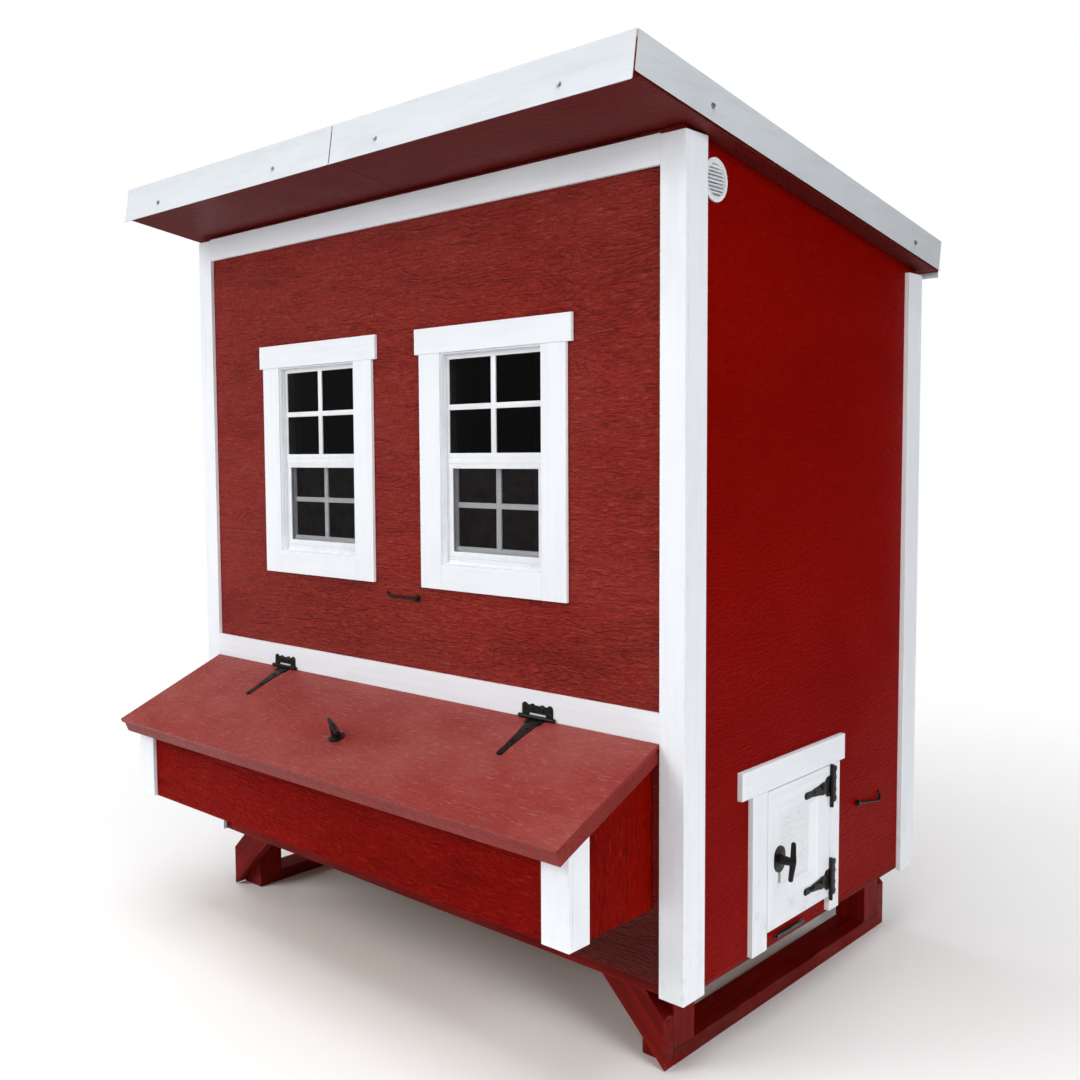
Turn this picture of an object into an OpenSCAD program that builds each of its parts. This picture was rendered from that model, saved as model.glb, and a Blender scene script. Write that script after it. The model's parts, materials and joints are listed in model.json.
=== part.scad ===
// Walk-in hen coop on two skids, built board by board.
// Units are millimetres. +X runs along the nest wall towards the hen door,
// -Y is the nest side, +Z is up, and the origin lies on the ground
// under the middle of the overall box.

/* [Walls] */
// length of the coop over its siding
wall_length = 1829; // [1650:1:2000]
// depth of the coop over its siding
wall_depth = 1219; // [1190:1:1320]
// thickness of the siding sheets
siding_t = 11; // [9:0.5:12]
// underside of the floor frame above the ground
floor_z = 188; // [170:1:200]
// bottom edge of the siding on the two ends
side_bottom_z = 207; // [203:1:215]
// bottom edge of the siding on the front and back
front_bottom_z = 218; // [210:1:230]
// height of the sheet joint in the front siding
sheet_joint_z = 818; // [800:1:830]

/* [Framing] */
// thickness of the framing lumber
lumber_t = 38; // [35:1:40]
// width of the wall studs
stud_w = 64; // [60:1:66]
// height of the floor joists
joist_h = 89; // [80:1:89]
// thickness of the floor sheet
deck_t = 16; // [12:1:18]

/* [Skids] */
// distance from the end siding to the outer face of a skid
skid_inset = 60; // [55:1:70]
// distance from the front or back siding to the legs
leg_inset = 62; // [62:1:70]
// side of the square legs and width of the runners
leg_w = 89; // [80:1:90]

/* [Roof] */
// height of the soffit where it meets the front siding
soffit_z = 2146; // [2140:1:2190]
// fall of the roof for each unit of depth
roof_fall = 0.156; // [0.148:0.001:0.16]
// reach of the roof beyond the end siding
side_reach = 52; // [48:1:60]
// reach of the front metal edge, measured down the slope
front_reach = 260; // [240:1:270]
// reach of the roof beyond the back siding
back_reach = 38.8; // [38.8:0.1:60]
// thickness of the soffit sheets
soffit_t = 9; // [6:1:9]
// thickness of the roof sheathing
sheath_t = 16; // [12:1:16]
// thickness of the bent sheet metal
metal_t = 1.5; // [1.2:0.1:1.5]
// height of the ribs in the roofing
rib_h = 19; // [12:1:20]

/* [Trim] */
// thickness of the front and back corner boards and bands
trim_t = 12; // [10:0.5:12]
// thickness of the boards on the two ends
end_trim_t = 14; // [12:0.5:15]
// width of the end faces of the corner boards
corner_side_w = 76; // [70:1:76]
// inner edge of the front corner boards, back from the end siding
corner_front_w = 52; // [48:1:52]
// bottom of the corner boards
corner_bottom_z = 193; // [190:1:200]
// top of the front corner boards
corner_top_z = 2133; // [2120:1:2133]
// top of the back corner boards
back_corner_top_z = 1943; // [1930:1:1945]
// bottom of the band above the nest lid
band_z = 783; // [780:1:786]
// height of that band
band_h = 70; // [64:1:70]
// height of the board under the front soffit
top_trim_h = 68; // [60:1:70]

/* [Windows] */
// distance of each window's middle from the middle of the wall
window_x = 346; // [330:1:360]
// width between the window casings
window_w = 346; // [340:1:350]
// bottom of the window frame
window_z = 1147; // [1140:1:1155]
// height of the window frame
window_h = 558; // [550:1:562]
// width of the side casings
casing_w = 77; // [70:1:80]
// height of the casing board under a window
casing_sill_h = 67; // [62:1:70]
// height of the head board over a window
casing_head_h = 68; // [64:1:72]
// thickness of the casings
casing_t = 10; // [8:0.5:12]

/* [Nest box] */
// inset of the nest box from the end siding, over its corner boards
nest_inset = 64; // [64:1:80]
// reach of the nest box in front of the siding, over its corner boards
nest_reach = 323; // [310:1:325]
// bottom of the nest box
nest_z = 394; // [394:1:394]
// thickness of the nest floor and partitions
nest_ply_t = 12; // [10:1:12]
// number of nests
nest_count = 5; // [5:2:5]
// slope of the lid in degrees
lid_angle = 22.5; // [21.5:0.1:23]
// length of the lid down its slope, from its hinge axis
lid_len = 396; // [385:1:398]
// thickness of the battens under the lid
batten_t = 32; // [28:1:33]

/* [Hen door] */
// middle of the hen door, back from the front siding
hen_y = 525; // [514:1:527]
// half width of the hen door
hen_half = 163; // [158:1:164]
// bottom and top of the hen door
hen_bottom_z = 249; // [249:1:255]
hen_top_z = 604; // [600:1:606]
// width of the hen door's boards
hen_board_w = 70; // [66:1:74]
// width of the post that carries the hen door's hinges
hen_jamb_w = 54; // [50:1:60]

/* [Walk-in door] */
// middle of the walk-in door, back from the front siding
walk_y = 609; // [600:1:612]
// half width of the walk-in door
walk_half = 312; // [305:1:312]
// bottom and top of the walk-in door
walk_bottom_z = 256; // [250:1:262]
walk_top_z = 1902; // [1880:1:1902]
// width of the walk-in door's boards
walk_board_w = 89; // [80:1:90]

/* [Hardware] */
// radius of the hinge pins
pin_r = 2.5; // [2.2:0.1:2.6]
// radius of the hinge barrels
barrel_r = 5; // [4.8:0.1:5]
// length of the hinge barrels
barrel_len = 112; // [108:1:116]
// length of the straps on the lid and the hen door
strap_len = 150; // [140:1:155]
// length of the straps on the walk-in door
walk_strap_len = 200; // [180:1:210]
// thickness of the hinge leaves
leaf_t = 2.5; // [2:0.1:2.5]
// radius of the handle stems
stem_r = 4; // [3.6:0.1:4.2]
// distance of the handle bars from the face they turn on
bar_reach = 44; // [40:1:45]
// length of the handle bars
bar_len = 96; // [90:1:100]

/* [Hidden] */
$fn = 48;
hl = wall_length / 2;
pitch = atan(roof_fall);
rafter_w0 = soffit_t;
rafter_w1 = soffit_t + stud_w;
sheath_w1 = rafter_w1 + sheath_t;
metal_top = sheath_w1 + metal_t;
pin_gap = barrel_r + 0.3;
lid_t = siding_t;
lid_pin_d = -trim_t - pin_gap;
lid_pin_z = band_z + pin_gap + 0.5;
batten_n = pin_gap + lid_t + batten_t + 0.3;
lid_front_d = lid_pin_d - (lid_len * cos(lid_angle)) + (pin_gap * sin(lid_angle));
back_run = (wall_depth + back_reach) / cos(pitch);
roof_back_d = back_run * cos(pitch) + metal_top * sin(pitch);
fy = -(lid_front_d + roof_back_d) / 2;
by = fy + wall_depth;
deck_z = floor_z + joist_h;
plate_z = deck_z + deck_t;
stud_z = plate_z + lumber_t;
stud_d1 = siding_t + stud_w;
nest_hw = hl - nest_inset;
nest_out = nest_hw - trim_t;
nest_in = nest_out - siding_t;
nest_floor_z = nest_z + nest_ply_t;
nest_open_z = band_z - 38;
header_z = nest_open_z + joist_h;
window_top = window_z + window_h;
run_gap = 0.06;
seam = 0.3;
door_gap = 2;
window_bar = 15;
hen_pin_y = hen_y + hen_half + 1;
walk_pin_y = walk_y + walk_half + 1;
hen_open = hen_half - 11;
walk_open = walk_half - 12;
hen_open_top = hen_top_z - 12;
walk_open_top = walk_top_z - 12;
lip = 20;
nest_pitch = 2 * nest_in / nest_count;

skid_runners();
skid_legs();
skid_braces();
floor_joists();
floor_deck();
front_siding();
back_siding();
right_siding();
left_siding();
front_wall_studs();
back_wall_studs();
end_wall_studs();
corner_boards();
wall_trim_boards();
rafters();
roof_edge_boards();
soffit_panels();
roof_sheathing();
roofing_sheets();
front_drip_edges();
side_drip_edges();
back_drip_edge();
roof_screws();
window_casings();
window_frames();
upper_window_grids();
upper_window_glass();
right_lower_sash();
left_lower_sash();
right_lower_glass();
left_lower_glass();
window_screen_frames();
window_screen_mesh();
nest_box_walls();
nest_box_floor();
nest_partitions();
nest_corner_boards();
nest_lid();
hinge_plates();
hinge_pins();
lid_hinge_straps();
hen_hinge_straps();
walk_hinge_straps();
lid_handle();
hen_door_handle();
walk_door_handle();
lid_handle_plate();
hen_handle_plate();
walk_handle_plate();
door_trim_boards();
hen_door_boards();
hen_door_panel();
walk_door_boards();
walk_door_panel();
lid_hook();
hen_door_hook();
screws_and_keeper();
gable_vents();
ramp_bar();
roost_ladder();

// Helpers. d is a distance back from the front siding's face.
function soffit_at(d) = soffit_z - roof_fall * d - 0.04;
function rafter_at(d) = soffit_at(d) + soffit_t / cos(pitch);
function under_lid(d, n) = lid_pin_z + tan(lid_angle) * (d - lid_pin_d) - n / cos(lid_angle);

module block(x0, x1, d0, d1, z0, z1)
  translate([x0, fy + d0, z0])
    cube([x1 - x0, d1 - d0, z1 - z0]);

module both_ends() {
  children();
  mirror([1, 0, 0])
    children();
}

module end_prism(x0, x1, pts)
  translate([x0, fy, 0])
    rotate([90, 0, 90])
      linear_extrude(x1 - x0)
        polygon(pts);

module front_prism(d0, d1, pts)
  translate([0, fy + d1, 0])
    rotate([90, 0, 0])
      linear_extrude(d1 - d0)
        polygon(pts);

module on_roof()
  translate([0, fy, soffit_z])
    rotate([-pitch, 0, 0])
      children();

module roof_block(x0, x1, v0, v1, w0, w1)
  on_roof()
    translate([x0, v0, w0])
      cube([x1 - x0, v1 - v0, w1 - w0]);

// Skids: a runner under each end with two legs and two corner braces.
module skid_runners()
  color("darkred")
    both_ends()
      block(hl - skid_inset - leg_w, hl - skid_inset, leg_inset, wall_depth - leg_inset, 0, lumber_t);

module skid_legs()
  color("darkred")
    both_ends()
      for (d = [leg_inset, wall_depth - leg_inset - leg_w])
        block(hl - skid_inset - leg_w, hl - skid_inset, d, d + leg_w, lumber_t, floor_z);

module skid_braces() {
  cut = leg_w * sqrt(2);
  x1 = hl - skid_inset;
  shape = [[x1, 0], [x1, cut], [x1 - (floor_z - cut), floor_z], [x1 - floor_z, floor_z]];
  color("darkred")
    both_ends() {
      front_prism(leg_inset - lumber_t, leg_inset, shape);
      front_prism(wall_depth - leg_inset, wall_depth - leg_inset + lumber_t, shape);
    }
}

// Floor: rim joists, inner joists and one sheet.
module floor_joists() {
  x1 = hl - siding_t;
  d1 = siding_t + lumber_t;
  leg_x = hl - skid_inset - leg_w / 2;
  color("burlywood") {
    block(-x1, x1, siding_t, d1, floor_z, deck_z);
    block(-x1, x1, wall_depth - d1, wall_depth - siding_t, floor_z, deck_z);
    both_ends() {
      block(x1 - lumber_t, x1, d1 + seam, wall_depth - d1 - seam, floor_z, deck_z);
      block(leg_x - lumber_t / 2, leg_x + lumber_t / 2, d1 + seam, wall_depth - d1 - seam, floor_z, deck_z);
      block(leg_x / 2 - lumber_t / 2, leg_x / 2 + lumber_t / 2, d1 + seam, wall_depth - d1 - seam, floor_z, deck_z);
    }
    block(-lumber_t / 2, lumber_t / 2, d1 + seam, wall_depth - d1 - seam, floor_z, deck_z);
  }
}

module floor_deck()
  color("tan")
    block(-hl + siding_t, hl - siding_t, siding_t, wall_depth - siding_t, deck_z, plate_z);

// Siding sheets.
module front_siding()
  color("firebrick") {
    difference() {
      block(-hl, hl, 0, siding_t, front_bottom_z, sheet_joint_z);
      block(-nest_in, nest_in, -1, siding_t + 1, nest_z, nest_open_z);
    }
    difference() {
      end_prism(-hl, hl, [[0, sheet_joint_z + seam], [siding_t, sheet_joint_z + seam],
        [siding_t, soffit_at(siding_t)], [0, soffit_at(0)]]);
      both_ends()
        block(window_x - window_w / 2, window_x + window_w / 2, -1, siding_t + 1, window_z, window_top);
    }
  }

module back_siding()
  color("firebrick")
    end_prism(-hl, hl, [[wall_depth - siding_t, front_bottom_z], [wall_depth, front_bottom_z],
      [wall_depth, soffit_at(wall_depth)], [wall_depth - siding_t, soffit_at(wall_depth - siding_t)]]);

vent_d = 126;
vent_z = soffit_z - 99;
vent_r = 49;
vent_hole_r = 41;

module end_sheet()
  difference() {
    end_prism(hl - siding_t, hl, [[siding_t, side_bottom_z], [wall_depth - siding_t, side_bottom_z],
      [wall_depth - siding_t, soffit_at(wall_depth - siding_t)], [siding_t, soffit_at(siding_t)]]);
    translate([hl - siding_t - 1, fy + vent_d, vent_z])
      rotate([0, 90, 0])
        cylinder(r = vent_hole_r + 0.3, h = siding_t + 2);
  }

module right_siding()
  color("firebrick")
    difference() {
      end_sheet();
      block(hl - siding_t - 1, hl + 1, hen_y - hen_open, hen_y + hen_open, plate_z, hen_open_top);
    }

module left_siding()
  color("firebrick")
    mirror([1, 0, 0])
      difference() {
        end_sheet();
        block(hl - siding_t - 1, hl + 1, walk_y - walk_open, walk_y + walk_open, plate_z, walk_open_top);
      }

// Wall framing.
module front_wall_studs() {
  x1 = hl - siding_t;
  top = rafter_at(stud_d1) - lumber_t;
  win0 = window_x - window_w / 2;
  win1 = window_x + window_w / 2;
  in1 = x1 - lumber_t - seam;
  color("burlywood") {
    block(-x1, x1, siding_t, stud_d1, plate_z, stud_z);
    end_prism(-x1, x1, [[siding_t, top], [stud_d1, top],
      [stud_d1, rafter_at(stud_d1)], [siding_t, rafter_at(siding_t)]]);
    both_ends() {
      block(x1 - lumber_t, x1, siding_t, stud_d1, stud_z + seam, top - seam);
      block(nest_in, in1, siding_t, stud_d1, nest_z + seam, nest_open_z - seam);
      block(win0 - lumber_t, win0, siding_t, stud_d1, header_z + seam, top - seam);
      block(win1, win1 + lumber_t, siding_t, stud_d1, header_z + seam, top - seam);
      block(win0 + seam, win1 - seam, siding_t, stud_d1, window_z - lumber_t, window_z);
      block(win0 + seam, win1 - seam, siding_t, stud_d1, window_top, window_top + lumber_t);
    }
    block(-in1, in1, siding_t, siding_t + lumber_t, stud_z + seam, nest_z);
    block(-in1, in1, siding_t, siding_t + lumber_t, nest_open_z, header_z);
  }
}

module back_wall_studs() {
  x1 = hl - siding_t;
  d0 = wall_depth - stud_d1;
  d1 = wall_depth - siding_t;
  top = rafter_at(d1) - lumber_t;
  color("burlywood") {
    block(-x1, x1, d0, d1, plate_z, stud_z);
    end_prism(-x1, x1, [[d0, top], [d1, top], [d1, rafter_at(d1)], [d0, rafter_at(d0)]]);
    both_ends() {
      block(x1 - lumber_t, x1, d0, d1, stud_z + seam, top - seam);
      block(hl / 2 - lumber_t / 2, hl / 2 + lumber_t / 2, d0, d1, stud_z + seam, top - seam);
    }
    block(-lumber_t / 2, lumber_t / 2, d0, d1, stud_z + seam, top - seam);
  }
}

module end_stud(d)
  end_prism(hl - stud_d1, hl - siding_t, [[d, stud_z + seam], [d + lumber_t, stud_z + seam],
    [d + lumber_t, rafter_at(d + lumber_t) - lumber_t - seam], [d, rafter_at(d) - lumber_t - seam]]);

module end_plates(gap0, gap1) {
  x0 = hl - stud_d1;
  x1 = hl - siding_t;
  d0 = stud_d1;
  d1 = wall_depth - stud_d1;
  block(x0, x1, d0 + seam, gap0, plate_z, stud_z);
  block(x0, x1, gap1, d1 - seam, plate_z, stud_z);
  end_prism(x0, x1, [[d0 + seam, rafter_at(d0 + seam) - lumber_t], [d1 - seam, rafter_at(d1 - seam) - lumber_t],
    [d1 - seam, rafter_at(d1 - seam)], [d0 + seam, rafter_at(d0 + seam)]]);
  end_stud((gap1 + d1) / 2);
  end_stud(gap0 - lumber_t);
  end_stud(gap1);
}

module end_wall_studs() {
  x0 = hl - stud_d1;
  x1 = hl - siding_t;
  hen0 = hen_y - hen_open - lip;
  hen1 = hen_y + hen_open + lip;
  walk0 = walk_y - walk_open - lip;
  walk1 = walk_y + walk_open + lip;
  color("burlywood") {
    end_plates(hen0, hen1);
    block(x0, x1, hen0 + seam, hen1 - seam, hen_open_top + lip, hen_open_top + lip + lumber_t);
    mirror([1, 0, 0]) {
      end_plates(walk0, walk1);
      block(x0, x1, walk0 + seam, walk1 - seam, walk_open_top + lip, walk_open_top + lip + lumber_t);
    }
  }
}

// White boards on the corners and across the walls.
module corner_boards()
  color("white")
    both_ends() {
      block(hl - corner_front_w, hl + end_trim_t, -trim_t, 0, corner_bottom_z, corner_top_z);
      block(hl, hl + end_trim_t, seam, corner_side_w, corner_bottom_z, corner_top_z);
      block(hl - corner_front_w, hl + end_trim_t, wall_depth, wall_depth + trim_t,
        corner_bottom_z, back_corner_top_z);
      block(hl, hl + end_trim_t, wall_depth - corner_side_w, wall_depth - seam,
        corner_bottom_z, back_corner_top_z);
    }

module wall_trim_boards() {
  x1 = hl - corner_front_w;
  color("white") {
    block(-x1, x1, -trim_t, 0, corner_top_z + 3 - top_trim_h, corner_top_z + 3);
    block(-x1, x1, -trim_t, 0, band_z, band_z + band_h);
    block(-x1, x1, wall_depth, wall_depth + trim_t, back_corner_top_z - top_trim_h, back_corner_top_z);
  }
}

// Roof, measured along the slope: v runs down it and w stands off the soffit.
edge_board_t = 19;
v_front = -front_reach + metal_t;
v_back = back_run - metal_t;
x_edge = hl + side_reach - metal_t;

module rafters() {
  v0 = v_front + edge_board_t;
  v1 = v_back - edge_board_t;
  x_end = hl - siding_t - lumber_t / 2;
  color("burlywood")
    for (x = [-x_end, -x_end / 2, 0, x_end / 2, x_end])
      roof_block(x - lumber_t / 2, x + lumber_t / 2, v0, v1, rafter_w0, rafter_w1);
}

module roof_edge_boards()
  color("darkred") {
    roof_block(-x_edge, x_edge, v_front, v_front + edge_board_t, 0, rafter_w1);
    roof_block(-x_edge, x_edge, v_back - edge_board_t, v_back, 0, rafter_w1);
    both_ends()
      roof_block(x_edge - lumber_t, x_edge, v_front + edge_board_t + seam, v_back - edge_board_t - seam,
        rafter_w0, rafter_w1);
  }

seam_x = 33;

module soffit_panels() {
  v0 = v_front + edge_board_t + seam;
  v1 = (siding_t - soffit_t * sin(pitch)) / cos(pitch);
  v2 = (wall_depth - siding_t) / cos(pitch);
  v3 = v_back - edge_board_t - seam;
  color("darkred") {
    roof_block(-x_edge, seam_x - 0.5, v0, v1, 0, soffit_t);
    roof_block(seam_x + 0.5, x_edge, v0, v1, 0, soffit_t);
    roof_block(-x_edge, x_edge, v2, v3, 0, soffit_t);
    both_ends()
      roof_block(hl - siding_t, x_edge, v1 + seam, v2 - seam, 0, soffit_t);
  }
}

module roof_sheathing()
  color("tan") {
    roof_block(-x_edge, seam_x - 0.5, v_front, v_back, rafter_w1, sheath_w1);
    roof_block(seam_x + 0.5, x_edge, v_front, v_back, rafter_w1, sheath_w1);
  }

// Ribbed roofing in two sheets; the right one laps over the rib at the middle.
sheet_t = 1.2;
rib_pitch = 0.2373 * x_edge;

module roof_sheet(v0, v1, pts)
  on_roof()
    translate([0, v1, sheath_w1])
      rotate([90, 0, 0])
        linear_extrude(v1 - v0)
          polygon(pts);

function ribs_top(ribs) = [for (x = ribs) each [[x - 32, sheet_t], [x - 12.6, rib_h + sheet_t],
  [x + 12.6, rib_h + sheet_t], [x + 32, sheet_t]]];

function ribs_low(ribs) = [for (i = [len(ribs) - 1:-1:0]) each [[ribs[i] + 31, 0],
  [ribs[i] + 11.6, rib_h], [ribs[i] - 11.6, rib_h], [ribs[i] - 31, 0]]];

module roofing_sheets() {
  v0 = v_front + 42;
  v1 = v_back - 2;
  x1 = x_edge - 42;
  a = sheet_t + 0.1;
  b = a + sheet_t;
  right_ribs = [for (k = [1:3]) k * rib_pitch];
  left_ribs = [for (k = [-3:0]) k * rib_pitch];
  lap_top = [[-35, b], [-33.4, b], [-13.2, rib_h + b], [13.2, rib_h + b], [33.4, b], [36.5, b], [38.5, sheet_t]];
  lap_low = [[37.6, 0], [36.2, a], [32.6, a], [12.8, rib_h + a], [-12.8, rib_h + a], [-32.6, a], [-35, a]];
  color("gainsboro") {
    roof_sheet(v0, v1, concat([[-x1, 0], [-x1, sheet_t]], ribs_top(left_ribs),
      [[36, sheet_t], [36, 0]], ribs_low(left_ribs)));
    roof_sheet(v0, v1, concat(lap_top, ribs_top(right_ribs), [[x1, sheet_t], [x1, 0]],
      ribs_low(right_ribs), lap_low));
  }
}

// Bent metal edges, each with a kicked-out lip at the bottom.
function drip(low, flange) = [[0, low + 5], [-5, low], [-6.1, low + 1.1], [-metal_t, low + 5.6],
  [-metal_t, metal_top], [flange, metal_top], [flange, sheath_w1], [0, sheath_w1]];

module front_drip_edges()
  color("white")
    for (s = [[-x_edge + 1.5, seam_x - 2.2], [seam_x + 2.2, x_edge - 1.5]])
      on_roof()
        translate([s[0], v_front, 0])
          rotate([90, 0, 90])
            linear_extrude(s[1] - s[0])
              polygon(drip(-14, 40));

module side_drip_edges()
  color("white")
    both_ends()
      on_roof() {
        translate([x_edge, v_back - 1, 0])
          rotate([90, 0, 0])
            linear_extrude(v_back - v_front - 4)
              polygon([[0, 8], [5, 3], [6.1, 4.1], [metal_t, 8.6], [metal_t, metal_top], [0, metal_top]]);
        translate([x_edge - 40, v_front + 41, sheath_w1])
          cube([40, v_back - v_front - 42, metal_t]);
      }

module back_drip_edge()
  color("white")
    on_roof()
      translate([-x_edge + 1.5, v_back, 0])
        rotate([90, 0, 90])
          linear_extrude(2 * x_edge - 3)
            polygon([[0, metal_top], [0, -9], [5, -14], [6.1, -12.9], [metal_t, -8.4], [metal_t, metal_top]]);

module pan_screw() {
  cylinder(r = 7, h = 1.2, $fn = 24);
  cylinder(r = 4.2, h = 4.4, $fn = 24);
}

module roof_screws()
  color("silver")
    on_roof() {
      for (x = [-0.804, -0.2124, 0.2124, 0.804] * x_edge) {
        translate([x, -front_reach, 21])
          rotate([90, 0, 0])
            pan_screw();
        translate([x, back_run, 38])
          rotate([-90, 0, 0])
            pan_screw();
      }
      both_ends()
        for (v = [0.021, 0.86] * v_back)
          translate([x_edge + metal_t, v, 38])
            rotate([0, 90, 0])
              pan_screw();
      for (k = [-3:3])
        for (v = [-0.094, 0.252, 0.598, 0.944] * v_back)
          translate([k * rib_pitch + 60, v, sheath_w1 + sheet_t])
            pan_screw();
    }

// Windows: a fixed upper pane over a sash that slides up behind it.
half_w = window_w / 2 - 0.2;
bar_in = half_w - window_bar;
sill_top = window_z + 22;
meet_z1 = window_z + window_h / 2 + 16;
meet_z0 = meet_z1 - 38;
rail_z0 = meet_z1 - 27;
top_in = window_top - 17;
sash_z0 = sill_top + 0.3;
sash_in = bar_in - 11.8;
screen_x = bar_in + 7;
screen_in = screen_x - 17.8;
screen_z0 = window_z + 18;

module at_windows() {
  both_ends()
    translate([window_x, 0, 0])
      children();
}

module window_casings() {
  x1 = window_w / 2;
  color("white")
    at_windows() {
      block(-x1 - casing_w, -x1, -casing_t, 0, window_z - casing_sill_h, window_top - seam);
      block(x1, x1 + casing_w, -casing_t, 0, window_z - casing_sill_h, window_top - seam);
      block(-x1 + seam, x1 - seam, -casing_t, 0, window_z - casing_sill_h, window_z);
      block(-x1 - casing_w - 17, x1 + casing_w + 17, -casing_t, 0, window_top, window_top + casing_head_h);
    }
}

module window_frames()
  color("white")
    at_windows()
      difference() {
        block(-half_w, half_w, -5, 41, window_z + 0.2, window_top - 0.2);
        block(-half_w + 4, half_w - 4, -6, 11, window_z + 4, window_top - 4);
        block(-bar_in, bar_in, 10, 42, meet_z1, top_in);
        block(-bar_in, bar_in, 21.5, 42, sill_top, top_in - 1);
        block(-bar_in, bar_in, 10, 22, sill_top, rail_z0);
        block(-bar_in - 5, bar_in + 5, 14.8, 18.2, meet_z1 - 5, top_in + 5);
        block(-screen_x - 0.2, screen_x + 0.2, 10, 17.3, screen_z0 - 0.2, rail_z0);
        block(-bar_in, bar_in, 10, 12.2, rail_z0 + 12, rail_z0 + 14);
        for (s = [-1, 1])
          block(s * (bar_in - 17) - 18, s * (bar_in - 17) + 18, 10, 12.5, screen_z0 - 8, screen_z0 - 4);
      }

module upper_window_grids()
  color("white")
    at_windows() {
      block(-8, 8, 10, 14.7, meet_z1, top_in);
      for (s = [-1, 1])
        translate([s > 0 ? 8 : -bar_in, fy + 10, (top_in + meet_z1) / 2 - 10])
          cube([bar_in - 8, 4.7, 14.6]);
    }

module upper_window_glass()
  color("lightblue")
    at_windows()
      block(-bar_in - 4.5, bar_in + 4.5, 15, 18, meet_z1 - 4.5, top_in + 4.5);

module lower_sash() {
  x1 = bar_in - 1;
  difference() {
    block(-x1, x1, 22.5, 37.5, sash_z0, meet_z1);
    block(-sash_in, sash_in, 21, 39, sill_top + 26, meet_z0);
    block(-sash_in - 5, sash_in + 5, 33.1, 36.5, sill_top + 21, meet_z0 + 5);
  }
  block(-8, 8, 28.6, 33, sill_top + 26, meet_z0);
  for (s = [-1, 1])
    translate([s > 0 ? 8 : -sash_in, fy + 28.6, (sill_top + meet_z0) / 2 + 11.5])
      cube([sash_in - 8, 4.4, 14]);
  block(-60, 60, 37.5, 45.5, sill_top + 10, sill_top + 16);
}

module right_lower_sash()
  color("white")
    translate([window_x, 0, 0])
      lower_sash();

module left_lower_sash()
  color("white")
    translate([-window_x, 0, 0])
      lower_sash();

module lower_glass()
  block(-sash_in - 4.5, sash_in + 4.5, 33.3, 36.3, sill_top + 21.5, meet_z0 + 4.5);

module right_lower_glass()
  color("lightblue")
    translate([window_x, 0, 0])
      lower_glass();

module left_lower_glass()
  color("lightblue")
    translate([-window_x, 0, 0])
      lower_glass();

module window_screen_frames()
  color("silver")
    at_windows()
      difference() {
        block(-screen_x, screen_x, 11.3, 17, screen_z0, rail_z0 - 0.2);
        block(-screen_in, screen_in, 10, 18, screen_z0 + 17, rail_z0 - 13.2);
      }

module window_screen_mesh()
  color("gray")
    at_windows()
      block(-screen_in + 0.1, screen_in - 0.1, 13.6, 14.4, screen_z0 + 17.1, rail_z0 - 13.3);

// Nest box on the front wall, open to the inside of the coop.
nest_front = nest_reach - trim_t;

module nest_box_walls() {
  d0 = -nest_front;
  d1 = d0 + siding_t;
  n = batten_n;
  color("firebrick") {
    end_prism(-nest_out, nest_out, [[d0, nest_z], [d1, nest_z], [d1, under_lid(d1, n)], [d0, under_lid(d0, n)]]);
    both_ends()
      end_prism(nest_in, nest_out, [[d1 + seam, nest_z], [0, nest_z], [0, under_lid(0, n)],
        [d1 + seam, under_lid(d1 + seam, n)]]);
  }
}

module nest_box_floor()
  color("tan")
    block(-nest_in, nest_in, -nest_front + siding_t, siding_t + lumber_t, nest_z, nest_floor_z);

module nest_partitions() {
  d0 = -nest_front + siding_t;
  n = batten_n + 6;
  cap = nest_open_z - 5;
  bend = lid_pin_d + (cap - under_lid(lid_pin_d, n)) / tan(lid_angle);
  color("tan") {
    for (k = [1:nest_count - 1])
      end_prism(-nest_in + k * nest_pitch - nest_ply_t / 2, -nest_in + k * nest_pitch + nest_ply_t / 2,
        [[d0, nest_floor_z], [siding_t, nest_floor_z], [siding_t, cap], [bend, cap], [d0, under_lid(d0, n)]]);
    block(-nest_in, nest_in, siding_t + seam, siding_t + nest_ply_t, nest_floor_z, nest_floor_z + 64);
  }
}

module nest_corner_boards() {
  d0 = -nest_reach;
  d1 = -nest_front;
  d2 = d0 + corner_side_w - 5;
  n = batten_n;
  color("white")
    both_ends() {
      end_prism(nest_hw - corner_side_w, nest_hw, [[d0, nest_z], [d1, nest_z], [d1, under_lid(d1, n)], [d0, under_lid(d0, n)]]);
      end_prism(nest_out, nest_hw, [[d1 + seam, nest_z], [d2, nest_z], [d2, under_lid(d2, n)],
        [d1 + seam, under_lid(d1 + seam, n)]]);
    }
}

// On the lid, x runs along the hinge, y up the slope and z off its face.
module on_lid()
  translate([0, fy + lid_pin_d, lid_pin_z])
    rotate([lid_angle, 0, 0])
      children();

lid_hw = hl - corner_front_w + 1;
handle_u = 237;

module nest_lid() {
  color("firebrick")
    on_lid()
      difference() {
        translate([-lid_hw + 1.5, -lid_len, -pin_gap - lid_t])
          cube([2 * lid_hw - 3, lid_len + 2, lid_t]);
        translate([0, -handle_u, -pin_gap - lid_t - 1])
          cylinder(r = stem_r + 0.3, h = lid_t + 2);
      }
  color("firebrick")
    on_lid() {
      z0 = -pin_gap - lid_t - batten_t;
      translate([-lid_hw + 12, -lid_len + 3, z0])
        cube([2 * lid_hw - 16, 89 - seam, batten_t - 0.2]);
      for (x = [-lid_hw + 12, lid_hw - 68])
        translate([x, -lid_len + 92, z0])
          cube([64, lid_len - 98, batten_t - 0.2]);
    }
}

// Hinges, drawn with the pin along x, the fixed plate at +y and the strap at -y.
mid_half = barrel_len / 4;

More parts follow.
